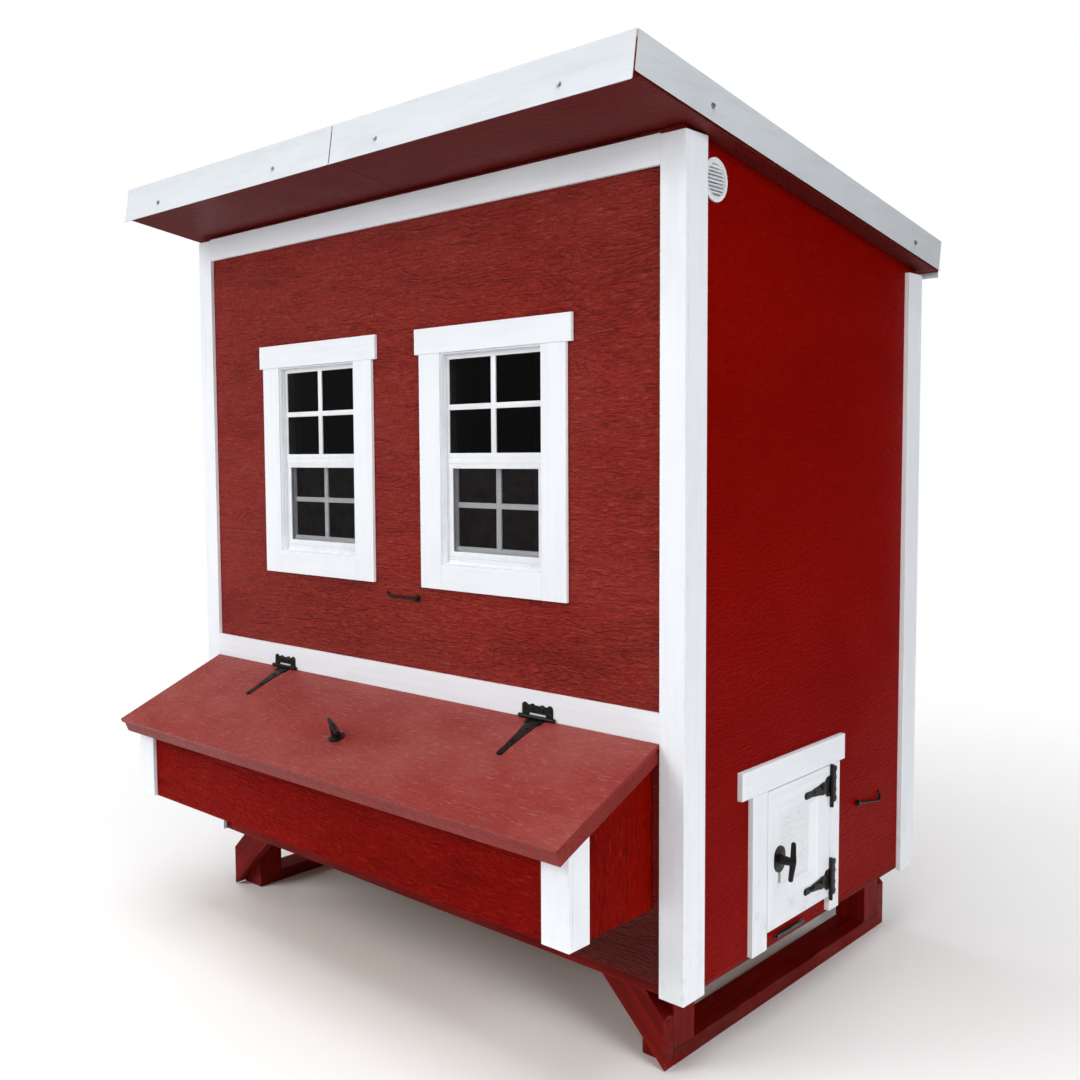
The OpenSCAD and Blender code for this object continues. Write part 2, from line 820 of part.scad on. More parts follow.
module barrel(x0, x1)
  translate([x0, 0, 0])
    rotate([0, 90, 0])
      difference() {
        cylinder(r = barrel_r, h = x1 - x0);
        translate([0, 0, -1])
          cylinder(r = pin_r + run_gap, h = x1 - x0 + 2);
      }

module tab(x0, x1, y0)
  translate([x0, y0, -pin_gap])
    cube([x1 - x0, 5.9, leaf_t]);

module dome(x, y, r)
  translate([x, y, -pin_gap + leaf_t])
    cylinder(r = r, h = 2, $fn = 24);

module tee_plate() {
  end = barrel_len / 2;
  side = end - 7;
  for (x = [-end, mid_half + 0.2]) {
    barrel(x, x + end - mid_half - 0.2);
    tab(x < 0 ? -side : x, x < 0 ? -mid_half - 0.2 : side, 0);
  }
  translate([0, 0, -pin_gap])
    linear_extrude(leaf_t)
      difference() {
        union() {
          translate([-side, 5.6])
            square([2 * side, 19.4]);
          translate([-side + 9, 20])
            square([2 * side - 18, 9]);
          for (s = [-1, 1]) {
            translate([s * (side - 9), 25])
              circle(r = 9);
            translate([s * 16, 23.5])
              circle(r = 9);
          }
        }
        translate([-mid_half + 1, 4])
          square([2 * mid_half - 2, 5.4]);
      }
  for (s = [-1, 1]) {
    dome(s * (side - 9), 19, 4.2);
    dome(s * 16, 18, 4.2);
  }
}

module tee_strap(long) {
  barrel(-mid_half + 0.2, mid_half - 0.2);
  tab(-mid_half + 0.2, mid_half - 0.2, -5.9);
  translate([0, 0, -pin_gap])
    linear_extrude(leaf_t)
      union() {
        polygon([[-26, -5.6], [26, -5.6], [27, -18], [22, -25], [17, -28], [16, -34], [17, -43],
          [13, -64], [10, -long + 48], [7.5, -long + 37], [9, -long + 28], [9, -long + 12],
          [-9, -long + 12], [-9, -long + 28], [-7.5, -long + 37], [-10, -long + 48], [-13, -64],
          [-17, -43], [-16, -34], [-17, -28], [-22, -25], [-27, -18]]);
        translate([0, -long + 9.5])
          circle(r = 9.5);
      }
  for (s = [-1, 1])
    dome(s * 17, -16, 4.2);
  dome(0, -44, 4.2);
  dome(0, -long * 0.62, 4.2);
  dome(0, -long + 9, 3.8);
}

module tee_pin() {
  translate([-barrel_len / 2 - 0.3, 0, 0])
    rotate([0, 90, 0])
      cylinder(r = pin_r, h = barrel_len + 0.6);
  for (s = [-1, 1])
    translate([s > 0 ? barrel_len / 2 + 0.3 : -barrel_len / 2 - 1.8, 0, 0])
      rotate([0, 90, 0])
        cylinder(r = 4, h = 1.5);
}

lid_hinge_x = 507;
hen_hinge_z = [297, 550];
walk_hinge_z = [320, 1080, 1838];

module at_lid_hinges()
  for (s = [-1, 1])
    translate([s * lid_hinge_x, fy + lid_pin_d, lid_pin_z])
      children();

module at_hen_hinges()
  for (z = hen_hinge_z)
    translate([hl + end_trim_t + pin_gap, fy + hen_pin_y, z])
      rotate([90, 0, 90])
        rotate([0, 0, -90])
          children();

module at_walk_hinges()
  mirror([1, 0, 0])
    for (z = walk_hinge_z)
      translate([hl + end_trim_t + pin_gap, fy + walk_pin_y, z])
        rotate([90, 0, 90])
          rotate([0, 0, -90])
            children();

module hinge_plates()
  color("dimgray") {
    at_lid_hinges()
      rotate([90, 0, 0])
        tee_plate();
    at_hen_hinges()
      tee_plate();
    at_walk_hinges()
      tee_plate();
  }

module hinge_pins()
  color("dimgray") {
    at_lid_hinges()
      tee_pin();
    at_hen_hinges()
      tee_pin();
    at_walk_hinges()
      tee_pin();
  }

module lid_hinge_straps()
  color("dimgray")
    at_lid_hinges()
      rotate([lid_angle, 0, 0])
        tee_strap(strap_len + 8);

module hen_hinge_straps()
  color("dimgray")
    at_hen_hinges()
      tee_strap(strap_len - 8);

module walk_hinge_straps()
  color("dimgray")
    at_walk_hinges()
      tee_strap(walk_strap_len);

// T-handles: a bar and stem in a fixed plate, with a flat tongue on the far end.
bar_r = 6;

module tee_handle(depth, tongue, tilt = 0) {
  bar_z = bar_reach - bar_r;
  half = bar_len / 2 - bar_r + 1.6;
  union() {
    translate([0, 0, -depth - 3])
      cylinder(r = stem_r, h = depth + 3 + bar_z);
    translate([0, 0, 9.4])
      cylinder(r1 = 12, r2 = 9.5, h = bar_z - 9.4);
    for (s = [-1, 1])
      translate([0, 0, bar_z])
        rotate([0, 0, tilt])
          rotate([0, s * 94, 0]) {
            cylinder(r1 = bar_r + 1.8, r2 = bar_r, h = half + 2);
            translate([0, 0, half])
              sphere(r = bar_r, $fn = 24);
          }
    translate([-tongue, -7, -depth - 3])
      cube([tongue + 7, 14, 3]);
  }
}

module handle_plate(wide, high, r)
  difference() {
    union() {
      linear_extrude(3)
        union() {
          circle(r = r);
          if (high > wide) {
            for (s = [-1, 1])
              translate([s * (high - wide) / 2, 0])
                circle(r = r);
            translate([-(high - wide) / 2, -r])
              square([high - wide, 2 * r]);
          }
        }
      translate([0, 0, 3])
        cylinder(r1 = r - 3, r2 = 12, h = 3);
      cylinder(r = 11, h = 9);
    }
    translate([0, 0, -1])
      cylinder(r = stem_r + run_gap, h = 12);
  }

hen_handle_d = hen_y - 107;
hen_handle_z = 422;
walk_handle_d = walk_y - walk_half + 46;
walk_handle_z = 1080;
grip_turn = 29;

module at_lid_handle()
  on_lid()
    translate([0, -handle_u, -pin_gap])
      rotate([0, 0, 180 - grip_turn])
        children();

module at_hen_handle()
  translate([hl + end_trim_t, fy + hen_handle_d, hen_handle_z])
    rotate([90, 0, 90])
      rotate([0, 0, 90])
        children();

module at_walk_handle()
  mirror([1, 0, 0])
    translate([hl + end_trim_t, fy + walk_handle_d, walk_handle_z])
      rotate([90, 0, 90])
        rotate([0, 0, 90])
          children();

module lid_handle()
  color("dimgray")
    at_lid_handle()
      tee_handle(lid_t + batten_t + 5, 78);

module hen_door_handle()
  color("dimgray")
    at_hen_handle()
      tee_handle(end_trim_t + siding_t + 0.6, 64, -9);

module walk_door_handle()
  color("dimgray")
    at_walk_handle()
      tee_handle(end_trim_t + siding_t + 0.6, 52);

module lid_handle_plate()
  color("dimgray")
    at_lid_handle()
      handle_plate(45, 45, 22.5);

module hen_handle_plate()
  color("dimgray")
    at_hen_handle() {
      handle_plate(53, 67, 26.5);
      translate([-61, -4.5, 0])
        cube([27, 9, 2]);
    }

module walk_handle_plate()
  color("dimgray")
    at_walk_handle()
      handle_plate(53, 67, 26.5);

// Doors on the two ends. Each is a mitred frame of boards over a siding panel.
module end_face()
  translate([hl, fy, 0])
    rotate([90, 0, 90])
      children();

module mitre_board(d0, d1, z0, z1, wide, bevel, turn) {
  g = 0.4;
  cut = wide + bevel;
  sides = [[[d0, z0], [d0 + cut, z0 + cut], [d0 + cut, z1 - cut], [d0, z1]],
    [[d1, z0], [d1, z1], [d1 - cut, z1 - cut], [d1 - cut, z0 + cut]],
    [[d0 + g, z0], [d1 - g, z0], [d1 - cut - g, z0 + cut], [d0 + cut + g, z0 + cut]],
    [[d0 + g, z1], [d0 + cut + g, z1 - cut], [d1 - cut - g, z1 - cut], [d1 - g, z1]]];
  intersection() {
    end_face()
      linear_extrude(end_trim_t)
        polygon(sides[turn]);
    if (turn == 0)
      bevelled_stile(d0, z0, z1, wide, bevel, 1);
    if (turn == 1)
      bevelled_stile(d1, z0, z1, wide, bevel, -1);
    if (turn == 2)
      bevelled_rail(z0, d0, d1, wide, bevel, 1);
    if (turn == 3)
      bevelled_rail(z1, d0, d1, wide, bevel, -1);
  }
}

module bevelled_stile(d, z0, z1, wide, bevel, s)
  translate([hl, fy + d, z0])
    linear_extrude(z1 - z0)
      polygon([[0, 0], [end_trim_t, 0], [end_trim_t, s * wide], [0, s * (wide + bevel)]]);

module bevelled_rail(z, d0, d1, wide, bevel, s)
  translate([hl, fy + d1, z])
    rotate([90, 0, 0])
      linear_extrude(d1 - d0)
        polygon([[0, 0], [end_trim_t, 0], [end_trim_t, s * wide], [0, s * (wide + bevel)]]);

module door_trim_boards() {
  hen0 = hen_y - hen_half - door_gap;
  hen1 = hen_y + hen_half + door_gap;
  walk0 = walk_y - walk_half - door_gap;
  walk1 = walk_y + walk_half + door_gap;
  x1 = hl + end_trim_t;
  color("white") {
    block(hl, x1, hen0 - hen_board_w, hen0, side_bottom_z, hen_top_z + 2);
    block(hl, x1, hen1, hen1 + hen_jamb_w, side_bottom_z, hen_top_z + 2);
    block(hl, x1, hen0 - hen_board_w - 51, hen1 + hen_jamb_w + 29, hen_top_z + 2 + seam, hen_top_z + 71);
    mirror([1, 0, 0]) {
      block(hl, x1, walk0 - 70, walk0, side_bottom_z, walk_top_z + 2);
      block(hl, x1, walk1, walk1 + 70, side_bottom_z, walk_top_z + 2);
      block(hl, x1, walk0 - 90, walk1 + 90, walk_top_z + 2 + seam, walk_top_z + 71);
    }
  }
}

module hen_stem_hole()
  translate([hl - siding_t - 1, fy + hen_handle_d, hen_handle_z])
    rotate([0, 90, 0])
      cylinder(r = stem_r + 0.3, h = siding_t + end_trim_t + 2);

module walk_stem_hole()
  translate([hl - siding_t - 1, fy + walk_handle_d, walk_handle_z])
    rotate([0, 90, 0])
      cylinder(r = stem_r + 0.3, h = siding_t + end_trim_t + 2);

module hen_door_boards() {
  d0 = hen_y - hen_half;
  d1 = hen_y + hen_half;
  color("white")
    difference() {
      for (turn = [0:3])
        mitre_board(d0, d1, hen_bottom_z, hen_top_z, 64, 26, turn);
      hen_stem_hole();
    }
}

module hen_door_panel() {
  half = hen_open - 3;
  color("white")
    difference() {
      block(hl - siding_t, hl, hen_y - half, hen_y + half, plate_z + 3, hen_open_top - 3);
      hen_stem_hole();
    }
}

module walk_door_boards() {
  d0 = walk_y - walk_half;
  d1 = walk_y + walk_half;
  x1 = hl + end_trim_t;
  rails = [[walk_bottom_z, walk_bottom_z + walk_board_w],
    [walk_handle_z - walk_board_w / 2, walk_handle_z + walk_board_w / 2],
    [walk_top_z - walk_board_w, walk_top_z]];
  color("white")
    mirror([1, 0, 0])
      difference() {
        union() {
          block(hl, x1, d0, d0 + walk_board_w, walk_bottom_z, walk_top_z);
          block(hl, x1, d1 - walk_board_w, d1, walk_bottom_z, walk_top_z);
          for (r = rails)
            block(hl, x1, d0 + walk_board_w + seam, d1 - walk_board_w - seam, r[0], r[1]);
        }
        walk_stem_hole();
      }
}

module walk_door_panel() {
  half = walk_open - 3;
  color("firebrick")
    mirror([1, 0, 0])
      difference() {
        block(hl - siding_t, hl, walk_y - half, walk_y + half, plate_z + 3, walk_open_top - 3);
        walk_stem_hole();
      }
}

// Hooks that swing on round-headed screws, and two plain screws.
ring_r = 6.6;
rod_r = 3.1;
ring_gap = 0.08;
shank_r = ring_r - rod_r - ring_gap;
ring_off = 5;

module hook(reach, bend, turn) {
  translate([0, 0, ring_off]) {
    rotate_extrude()
      translate([ring_r, 0])
        circle(r = rod_r, $fn = 24);
    translate([ring_r, 0, 0])
      rotate([0, 90, 0])
        cylinder(r = rod_r, h = reach - ring_r - bend);
    translate([reach - bend, bend, 0])
      rotate([0, 0, -90])
        rotate_extrude(angle = turn)
          translate([bend, 0])
            circle(r = rod_r, $fn = 24);
  }
}

module hook_screw() {
  cylinder(r = 8, h = 1.2);
  cylinder(r = shank_r, h = 9);
  translate([0, 0, 8.8])
    cylinder(r = 7, h = 3);
}

lid_hook_x = 74;
lid_hook_z = band_z + 264;
hen_hook_d = hen_pin_y + 187;
hen_hook_z = 457;
hook_droop = 9.5;

module lid_hook()
  color("dimgray")
    translate([lid_hook_x, fy, lid_hook_z])
      rotate([90, 0, 0])
        mirror([1, 0, 0])
          hook(117, 8, 115);

module hen_door_hook()
  color("dimgray")
    translate([hl, fy + hen_hook_d, hen_hook_z])
      rotate([90, 0, 90])
        rotate([0, 0, -hook_droop])
          hook(141, 13, 185);

// Bent strip inside the nest front, which the lid handle's tongue turns under.
module keeper() {
  d = -nest_front + siding_t;
  n = batten_n + 1;
  end_prism(-18, 18, [[d, under_lid(d, n) - 26], [d + 2, under_lid(d, n) - 26], [d + 2, under_lid(d + 2, n + 2.4)],
    [d + 14, under_lid(d + 14, n + 2.4)], [d + 14, under_lid(d + 14, n)], [d, under_lid(d, n)]]);
}

module screws_and_keeper()
  color("dimgray") {
    keeper();
    translate([lid_hook_x, fy, lid_hook_z])
      rotate([90, 0, 0])
        hook_screw();
    translate([hl, fy + hen_hook_d, hen_hook_z])
      rotate([90, 0, 90])
        hook_screw();
    translate([hl, fy + hen_y + 91, hen_bottom_z - 11])
      rotate([0, 90, 0])
        pan_screw();
  }

// Round louvred vents, a bar for hanging a ramp, and a roost.
module gable_vents()
  color("white")
    both_ends()
      translate([hl, fy + vent_d, vent_z])
        rotate([90, 0, 90])
          union() {
            difference() {
              union() {
                cylinder(r = vent_r, h = 3);
                translate([0, 0, -siding_t])
                  cylinder(r = vent_hole_r, h = siding_t + 5);
              }
              translate([0, 0, -siding_t - 1])
                cylinder(r = vent_hole_r - 3, h = siding_t + 8);
            }
            intersection() {
              translate([0, 0, -siding_t])
                cylinder(r = vent_hole_r - 2, h = siding_t + 5);
              for (k = [-4:4])
                translate([0, k * 8.2, -3])
                  rotate([50, 0, 0])
                    translate([-vent_r, -0.6, -7])
                      cube([2 * vent_r, 1.2, 14]);
            }
          }

module ramp_bar()
  color("silver")
    translate([hl, fy + hen_y - 101, hen_bottom_z - 36])
      rotate([-90, 0, 0])
        mirror([0, 1, 0])
          linear_extrude(139)
            polygon([[0, 0], [9, 0], [9, 9.5], [7, 9.5], [7, 2], [2, 2], [2, 9.5], [0, 9.5]]);

roost_x = 260;
roost_z = 760;

module roost_ladder() {
  x1 = hl - stud_d1;
  d0 = wall_depth - 719;
  d1 = wall_depth - 119;
  color("burlywood") {
    block(x1 - lumber_t, x1, hen_y - 195, d1, roost_z, roost_z + stud_w);
    block(roost_x, roost_x + lumber_t, d0, d1, roost_z, roost_z + stud_w);
    for (d = [d0, d1 - stud_w])
      block(roost_x, roost_x + lumber_t, d, d + stud_w, plate_z, roost_z - seam);
    for (d = [d0 + 60, d0 + 290, d0 + 520])
      block(roost_x - 20, x1, d, d + lumber_t, roost_z + stud_w + seam, roost_z + stud_w + lumber_t);
  }
}
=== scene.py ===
import json
import math
import random

import bmesh
import bpy
from mathutils import Matrix, Vector


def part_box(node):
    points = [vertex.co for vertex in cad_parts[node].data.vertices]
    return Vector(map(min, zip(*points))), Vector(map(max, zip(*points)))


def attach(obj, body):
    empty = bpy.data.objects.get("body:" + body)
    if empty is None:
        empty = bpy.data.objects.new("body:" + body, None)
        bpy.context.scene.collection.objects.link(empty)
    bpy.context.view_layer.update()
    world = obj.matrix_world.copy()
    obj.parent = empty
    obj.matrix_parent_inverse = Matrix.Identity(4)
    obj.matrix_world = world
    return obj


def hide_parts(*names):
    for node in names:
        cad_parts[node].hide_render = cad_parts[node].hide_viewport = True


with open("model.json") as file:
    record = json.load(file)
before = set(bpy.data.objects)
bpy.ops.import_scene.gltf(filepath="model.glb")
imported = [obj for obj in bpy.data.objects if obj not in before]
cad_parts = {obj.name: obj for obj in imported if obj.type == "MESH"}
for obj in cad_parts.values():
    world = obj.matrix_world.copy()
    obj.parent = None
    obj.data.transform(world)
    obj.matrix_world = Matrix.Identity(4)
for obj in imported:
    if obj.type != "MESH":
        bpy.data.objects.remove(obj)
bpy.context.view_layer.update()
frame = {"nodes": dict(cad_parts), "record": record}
cadNodes = frame["nodes"]
bodyOf = {n: body for body, held in frame["record"]["behaviour"]["bodies"].items() for n in held}
print("frame loaded,", len(bodyOf), "nodes")


# Shader building blocks

def rgb(red, green, blue):  # screen bytes to linear light
    shares = (c / 255 for c in (red, green, blue))
    return tuple(s / 12.92 if s <= 0.04 else ((s + 0.055) / 1.055) ** 2.4 for s in shares) + (1.0,)


def newMaterial(name):
    material = bpy.data.materials.new(name)
    material.use_nodes = True
    tree = material.node_tree
    tree.nodes.clear()
    shader = tree.nodes.new("ShaderNodeBsdfPrincipled")
    out = tree.nodes.new("ShaderNodeOutputMaterial")
    tree.links.new(shader.outputs["BSDF"], out.inputs["Surface"])
    return material, tree, shader


def feed(tree, socket, value):
    if isinstance(value, bpy.types.NodeSocket):
        tree.links.new(value, socket)
    elif value is not None:
        socket.default_value = value


def addNode(tree, kind, inputs=None, **settings):
    node = tree.nodes.new(kind)
    for key, value in settings.items():
        setattr(node, key, value)
    for key, value in (inputs or {}).items():
        feed(tree, node.inputs[key], value)
    return node


def setSurface(tree, shader, colour, roughness, normal, gloss=None, metallic=None):
    sockets = ("Base Color", "Roughness", "Normal", "Specular IOR Level", "Metallic")
    for socket, value in zip(sockets, (colour, roughness, normal, gloss, metallic)):
        feed(tree, shader.inputs[socket], value)


def boardPlace(tree):  # along, across and through each board, in metres
    return addNode(tree, "ShaderNodeAttribute", attribute_name="boardPlace").outputs["Vector"]


def edgeWear(tree):  # 1 along the rounded edges, 0 on the faces
    return addNode(tree, "ShaderNodeAttribute", attribute_name="edgeWear").outputs["Fac"]


def objectPlace(tree):
    return tree.nodes.new("ShaderNodeTexCoord").outputs["Object"]


def heightAboveGround(tree):
    return addNode(tree, "ShaderNodeSeparateXYZ", {"Vector": objectPlace(tree)}).outputs["Z"]


def stretch(tree, place, scale):
    return addNode(tree, "ShaderNodeVectorMath", {0: place, 1: scale}, operation="MULTIPLY").outputs["Vector"]


def noise(tree, place, scale, detail=3.0, rough=0.55, twist=0.0):
    inputs = {"Scale": 1.0, "Detail": detail, "Roughness": rough, "Distortion": twist,
              "Vector": stretch(tree, place, scale)}
    return addNode(tree, "ShaderNodeTexNoise", inputs).outputs["Fac"]


def calc(tree, operation, a, b=None, c=None, clamp=False):
    inputs = dict(enumerate((a, b, c)))
    return addNode(tree, "ShaderNodeMath", inputs, operation=operation, use_clamp=clamp).outputs[0]


def times(tree, a, b):
    return calc(tree, "MULTIPLY", a, b)


def fade(tree, value, low, high, toLow=0.0, toHigh=1.0):
    inputs = {"Value": value, "From Min": low, "From Max": high, "To Min": toLow, "To Max": toHigh}
    return addNode(tree, "ShaderNodeMapRange", inputs, interpolation_type="SMOOTHSTEP").outputs["Result"]


def blendColour(tree, factor, a, b):
    inputs = {"Factor": factor, "A": a, "B": b}
    return addNode(tree, "ShaderNodeMix", inputs, data_type="RGBA").outputs["Result"]


def relief(tree, height, strength, distance, under=None):
    inputs = {"Strength": strength, "Distance": distance, "Height": height, "Normal": under}
    return addNode(tree, "ShaderNodeBump", inputs).outputs["Normal"]


# Finishes: a pattern in three numbers is its cycles per metre along, across and through a board,
# or along x, y and z on metal, vinyl and glass

embossing = {
    "hills": (2.1, 11.0, 5.0), "contours": 150.0, "patches": (1.9, 6.5, 2.0),
    "swirls": (3.4, 30.0, 6.0), "swirlWidth": 0.016, "breaks": (9.0, 16.0, 9.0),
    "bumps": (46.0, 150.0, 60.0), "hairs": (16.0, 170.0, 60.0), "hairShare": 0.45, "cutDepth": -0.26,
    "tone": (1.3, 2.2, 1.0), "film": (2.5, 4.5, 2.0), "filmFloor": 0.3, "lidDustDepth": (0.003, 0.0008),
    "mud": rgb(128, 96, 80), "splash": (9.0, 9.0, 9.0), "splashFrom": 0.45, "splashFull": 0.2,
    "splashShare": 0.04, "rub": (30.0, 30.0, 30.0), "footShadeFrom": 0.44, "footShadeFull": 0.36,
}


def embossedSiding(name, colour, paintedShade, dust, grain, dustAndHighlightTop=None):
    material, tree, shader = newMaterial(name)
    place = boardPlace(tree)
    hills = noise(tree, place, embossing["hills"], 1.0, 0.4, 0.5)
    loops = calc(tree, "SINE", times(tree, hills, embossing["contours"]))  # contour lines read as cathedrals
    patch = noise(tree, place, embossing["patches"], 2.0, 0.5)
    patch = fade(tree, patch, 0.5, 0.62, 0.0, grain["cathedrals"])
    carved = times(tree, fade(tree, loops, 0.35, 0.95), patch)
    swirl = noise(tree, place, embossing["swirls"], 2.0, 0.5, 0.3)
    swirl = calc(tree, "ABSOLUTE", calc(tree, "SUBTRACT", swirl, 0.5))
    broken = fade(tree, noise(tree, place, embossing["breaks"], 2.0, 0.6), 0.45, 0.6, 0.0, grain["lines"])
    lines = times(tree, fade(tree, swirl, embossing["swirlWidth"], 0.0), broken)
    bumps = noise(tree, place, embossing["bumps"], 2.0, 0.6, 0.5)
    hair = noise(tree, place, embossing["hairs"], 3.0, 0.6, 0.5)
    skin = calc(tree, "ADD", bumps, times(tree, hair, embossing["hairShare"]))
    height = calc(tree, "MULTIPLY_ADD", calc(tree, "MAXIMUM", carved, lines), embossing["cutDepth"], skin)
    wide = noise(tree, place, embossing["tone"], 4.0, 0.6)
    shade = tuple(c * grain["shade"] for c in colour[:3]) + (1,)
    paint = blendColour(tree, fade(tree, wide, 0.35, 0.68), colour, shade)
    # painted shade: the low parts of the embossing are darkened towards the shade colour, standing in for
    # shadow in the grooves
    paint = blendColour(tree, fade(tree, height, 0.7, 0.38, 0.0, grain["recessShade"]), paint, paintedShade)
    film = noise(tree, place, embossing["film"], 5.0, 0.65)
    film = fade(tree, film, 0.36, 0.72, grain["dust"] * embossing["filmFloor"], grain["dust"])
    # painted highlight: the raised crests are paled towards the dust colour, added on top of the real dust
    # film
    film = calc(tree, "ADD", film, fade(tree, height, 0.74, 1.0, 0.0, grain["crestHighlight"]), clamp=True)
    if dustAndHighlightTop:  # dust and the painted crest highlights lie on the lid's top face only
        side = addNode(tree, "ShaderNodeVectorMath", {0: objectPlace(tree), 1: dustAndHighlightTop["up"]},
                       operation="DOT_PRODUCT").outputs["Value"]
        film = times(tree, film, fade(tree, side, *(dustAndHighlightTop["level"] - d for d in embossing["lidDustDepth"])))
    paint = blendColour(tree, film, paint, dust)
    splash = noise(tree, place, embossing["splash"], 6.0, 0.7)
    splash = fade(tree, splash, 0.5, 0.8, 0.0, embossing["splashShare"])
    low = fade(tree, heightAboveGround(tree), embossing["splashFrom"], embossing["splashFull"])
    paint = blendColour(tree, times(tree, low, splash), paint, embossing["mud"])
    rub = fade(tree, noise(tree, place, embossing["rub"], 3.0, 0.6), 0.45, 0.6, 0.0, 0.5)
    paint = blendColour(tree, times(tree, edgeWear(tree), rub), paint, dust)
    if grain["footShade"]:  # painted shade: the foot of the front wall, below the nest box, is darkened to the shade colour
        up = heightAboveGround(tree)
        footShadow = fade(tree, up, embossing["footShadeFrom"], embossing["footShadeFull"], 0.0, grain["footShade"])
        paint = blendColour(tree, footShadow, paint, paintedShade)
    setSurface(tree, shader, paint, fade(tree, wide, 0.3, 0.7, 0.42, 0.56),
               relief(tree, height, 1.0, grain["depth"]), grain["gloss"])
    return material


trimCoat = {
    "streaks": (2.4, 80.0, 60.0), "streakShare": 0.2, "bristles": (14.0, 620.0, 300.0),
    "swell": (5.0, 18.0, 9.0), "swellShare": 0.2, "gloss": 0.35,
    "smudges": (16.0, 22.0, 16.0), "specks": (130.0, 130.0, 130.0), "dirtFrom": 0.55, "dirtFull": 0.18,
    "rub": (22.0, 40.0, 40.0),
}


def boardPaint(name, colour, shade, grime):
    material, tree, shader = newMaterial(name)
    place = boardPlace(tree)
    streak = noise(tree, place, trimCoat["streaks"], 4.0, 0.6, 0.35)
    brush = noise(tree, place, trimCoat["bristles"], 2.0, 0.5)
    swell = noise(tree, place, trimCoat["swell"], 3.0, 0.5)
    paint = blendColour(tree, fade(tree, streak, 0.42, 0.72, 0.0, trimCoat["streakShare"]), colour, shade)
    paint = blendColour(tree, fade(tree, swell, 0.45, 0.75, 0.0, trimCoat["swellShare"]), paint, shade)
    low = fade(tree, heightAboveGround(tree), trimCoat["dirtFrom"], trimCoat["dirtFull"])
    smudge = fade(tree, noise(tree, place, trimCoat["smudges"], 6.0, 0.68), 0.52, 0.74)
    speck = fade(tree, noise(tree, place, trimCoat["specks"], 2.0, 0.5), 0.70, 0.76, 0.0, 0.4)
    smudge = times(tree, smudge, calc(tree, "MULTIPLY_ADD", low, 0.22, 0.03))
    speck = times(tree, speck, calc(tree, "MULTIPLY_ADD", low, 0.4, 0.04))
    paint = blendColour(tree, calc(tree, "ADD", smudge, speck, clamp=True), paint, grime)
    rub = fade(tree, noise(tree, place, trimCoat["rub"], 4.0, 0.65), 0.52, 0.68, 0.0, 0.4)
    paint = blendColour(tree, times(tree, edgeWear(tree), rub), paint, grime)
    body = relief(tree, calc(tree, "ADD", streak, times(tree, swell, 0.8)), 0.35, 0.0011)
    setSurface(tree, shader, paint, fade(tree, swell, 0.3, 0.7, 0.38, 0.52),
               relief(tree, brush, 0.12, 0.0004, body), trimCoat["gloss"])
    return material


sawnCoat = {
    "sawMarks": (260.0, 9.0, 9.0), "streaks": (3.2, 70.0, 50.0), "tone": (4.0, 9.0, 7.0), "gloss": 0.1,
    "soil": (22.0, 30.0, 22.0), "soilFrom": 0.10, "soilShare": 0.4,
    "chips": (18.0, 45.0, 45.0), "chipShare": 0.85,
}


def sawnPaint(name, colour, dark, chips, dust):  # rough lumber under one coat of paint
    material, tree, shader = newMaterial(name)
    place = boardPlace(tree)
    saw = noise(tree, place, sawnCoat["sawMarks"], 3.0, 0.6, 0.2)
    streak = noise(tree, place, sawnCoat["streaks"], 5.0, 0.65, 0.5)
    wide = noise(tree, place, sawnCoat["tone"], 4.0, 0.6)
    paint = blendColour(tree, fade(tree, streak, 0.38, 0.68), colour, dark)
    paint = blendColour(tree, fade(tree, wide, 0.4, 0.75, 0.0, 0.5), paint, dark)
    soil = noise(tree, place, sawnCoat["soil"], 6.0, 0.7)
    soil = fade(tree, soil, 0.46, 0.72, 0.0, sawnCoat["soilShare"])
    soil = times(tree, fade(tree, heightAboveGround(tree), sawnCoat["soilFrom"], 0.0), soil)
    paint = blendColour(tree, soil, paint, dust)
    worn = noise(tree, place, sawnCoat["chips"], 5.0, 0.7)
    worn = fade(tree, worn, 0.5, 0.6, 0.0, sawnCoat["chipShare"])
    paint = blendColour(tree, times(tree, edgeWear(tree), worn), paint, chips)
    rough = relief(tree, calc(tree, "ADD", times(tree, saw, 0.5), streak), 0.5, 0.0014)
    setSurface(tree, shader, paint, fade(tree, wide, 0.3, 0.7, 0.46, 0.62), rough, sawnCoat["gloss"])
    return material


softwood = {"ringsPerMetre": 1500.0, "bend": (1.6, 5.0, 5.0), "bendReach": 0.05,
            "fibres": (10.0, 520.0, 520.0), "knots": (2.6, 14.0, 14.0), "gloss": 0.3}


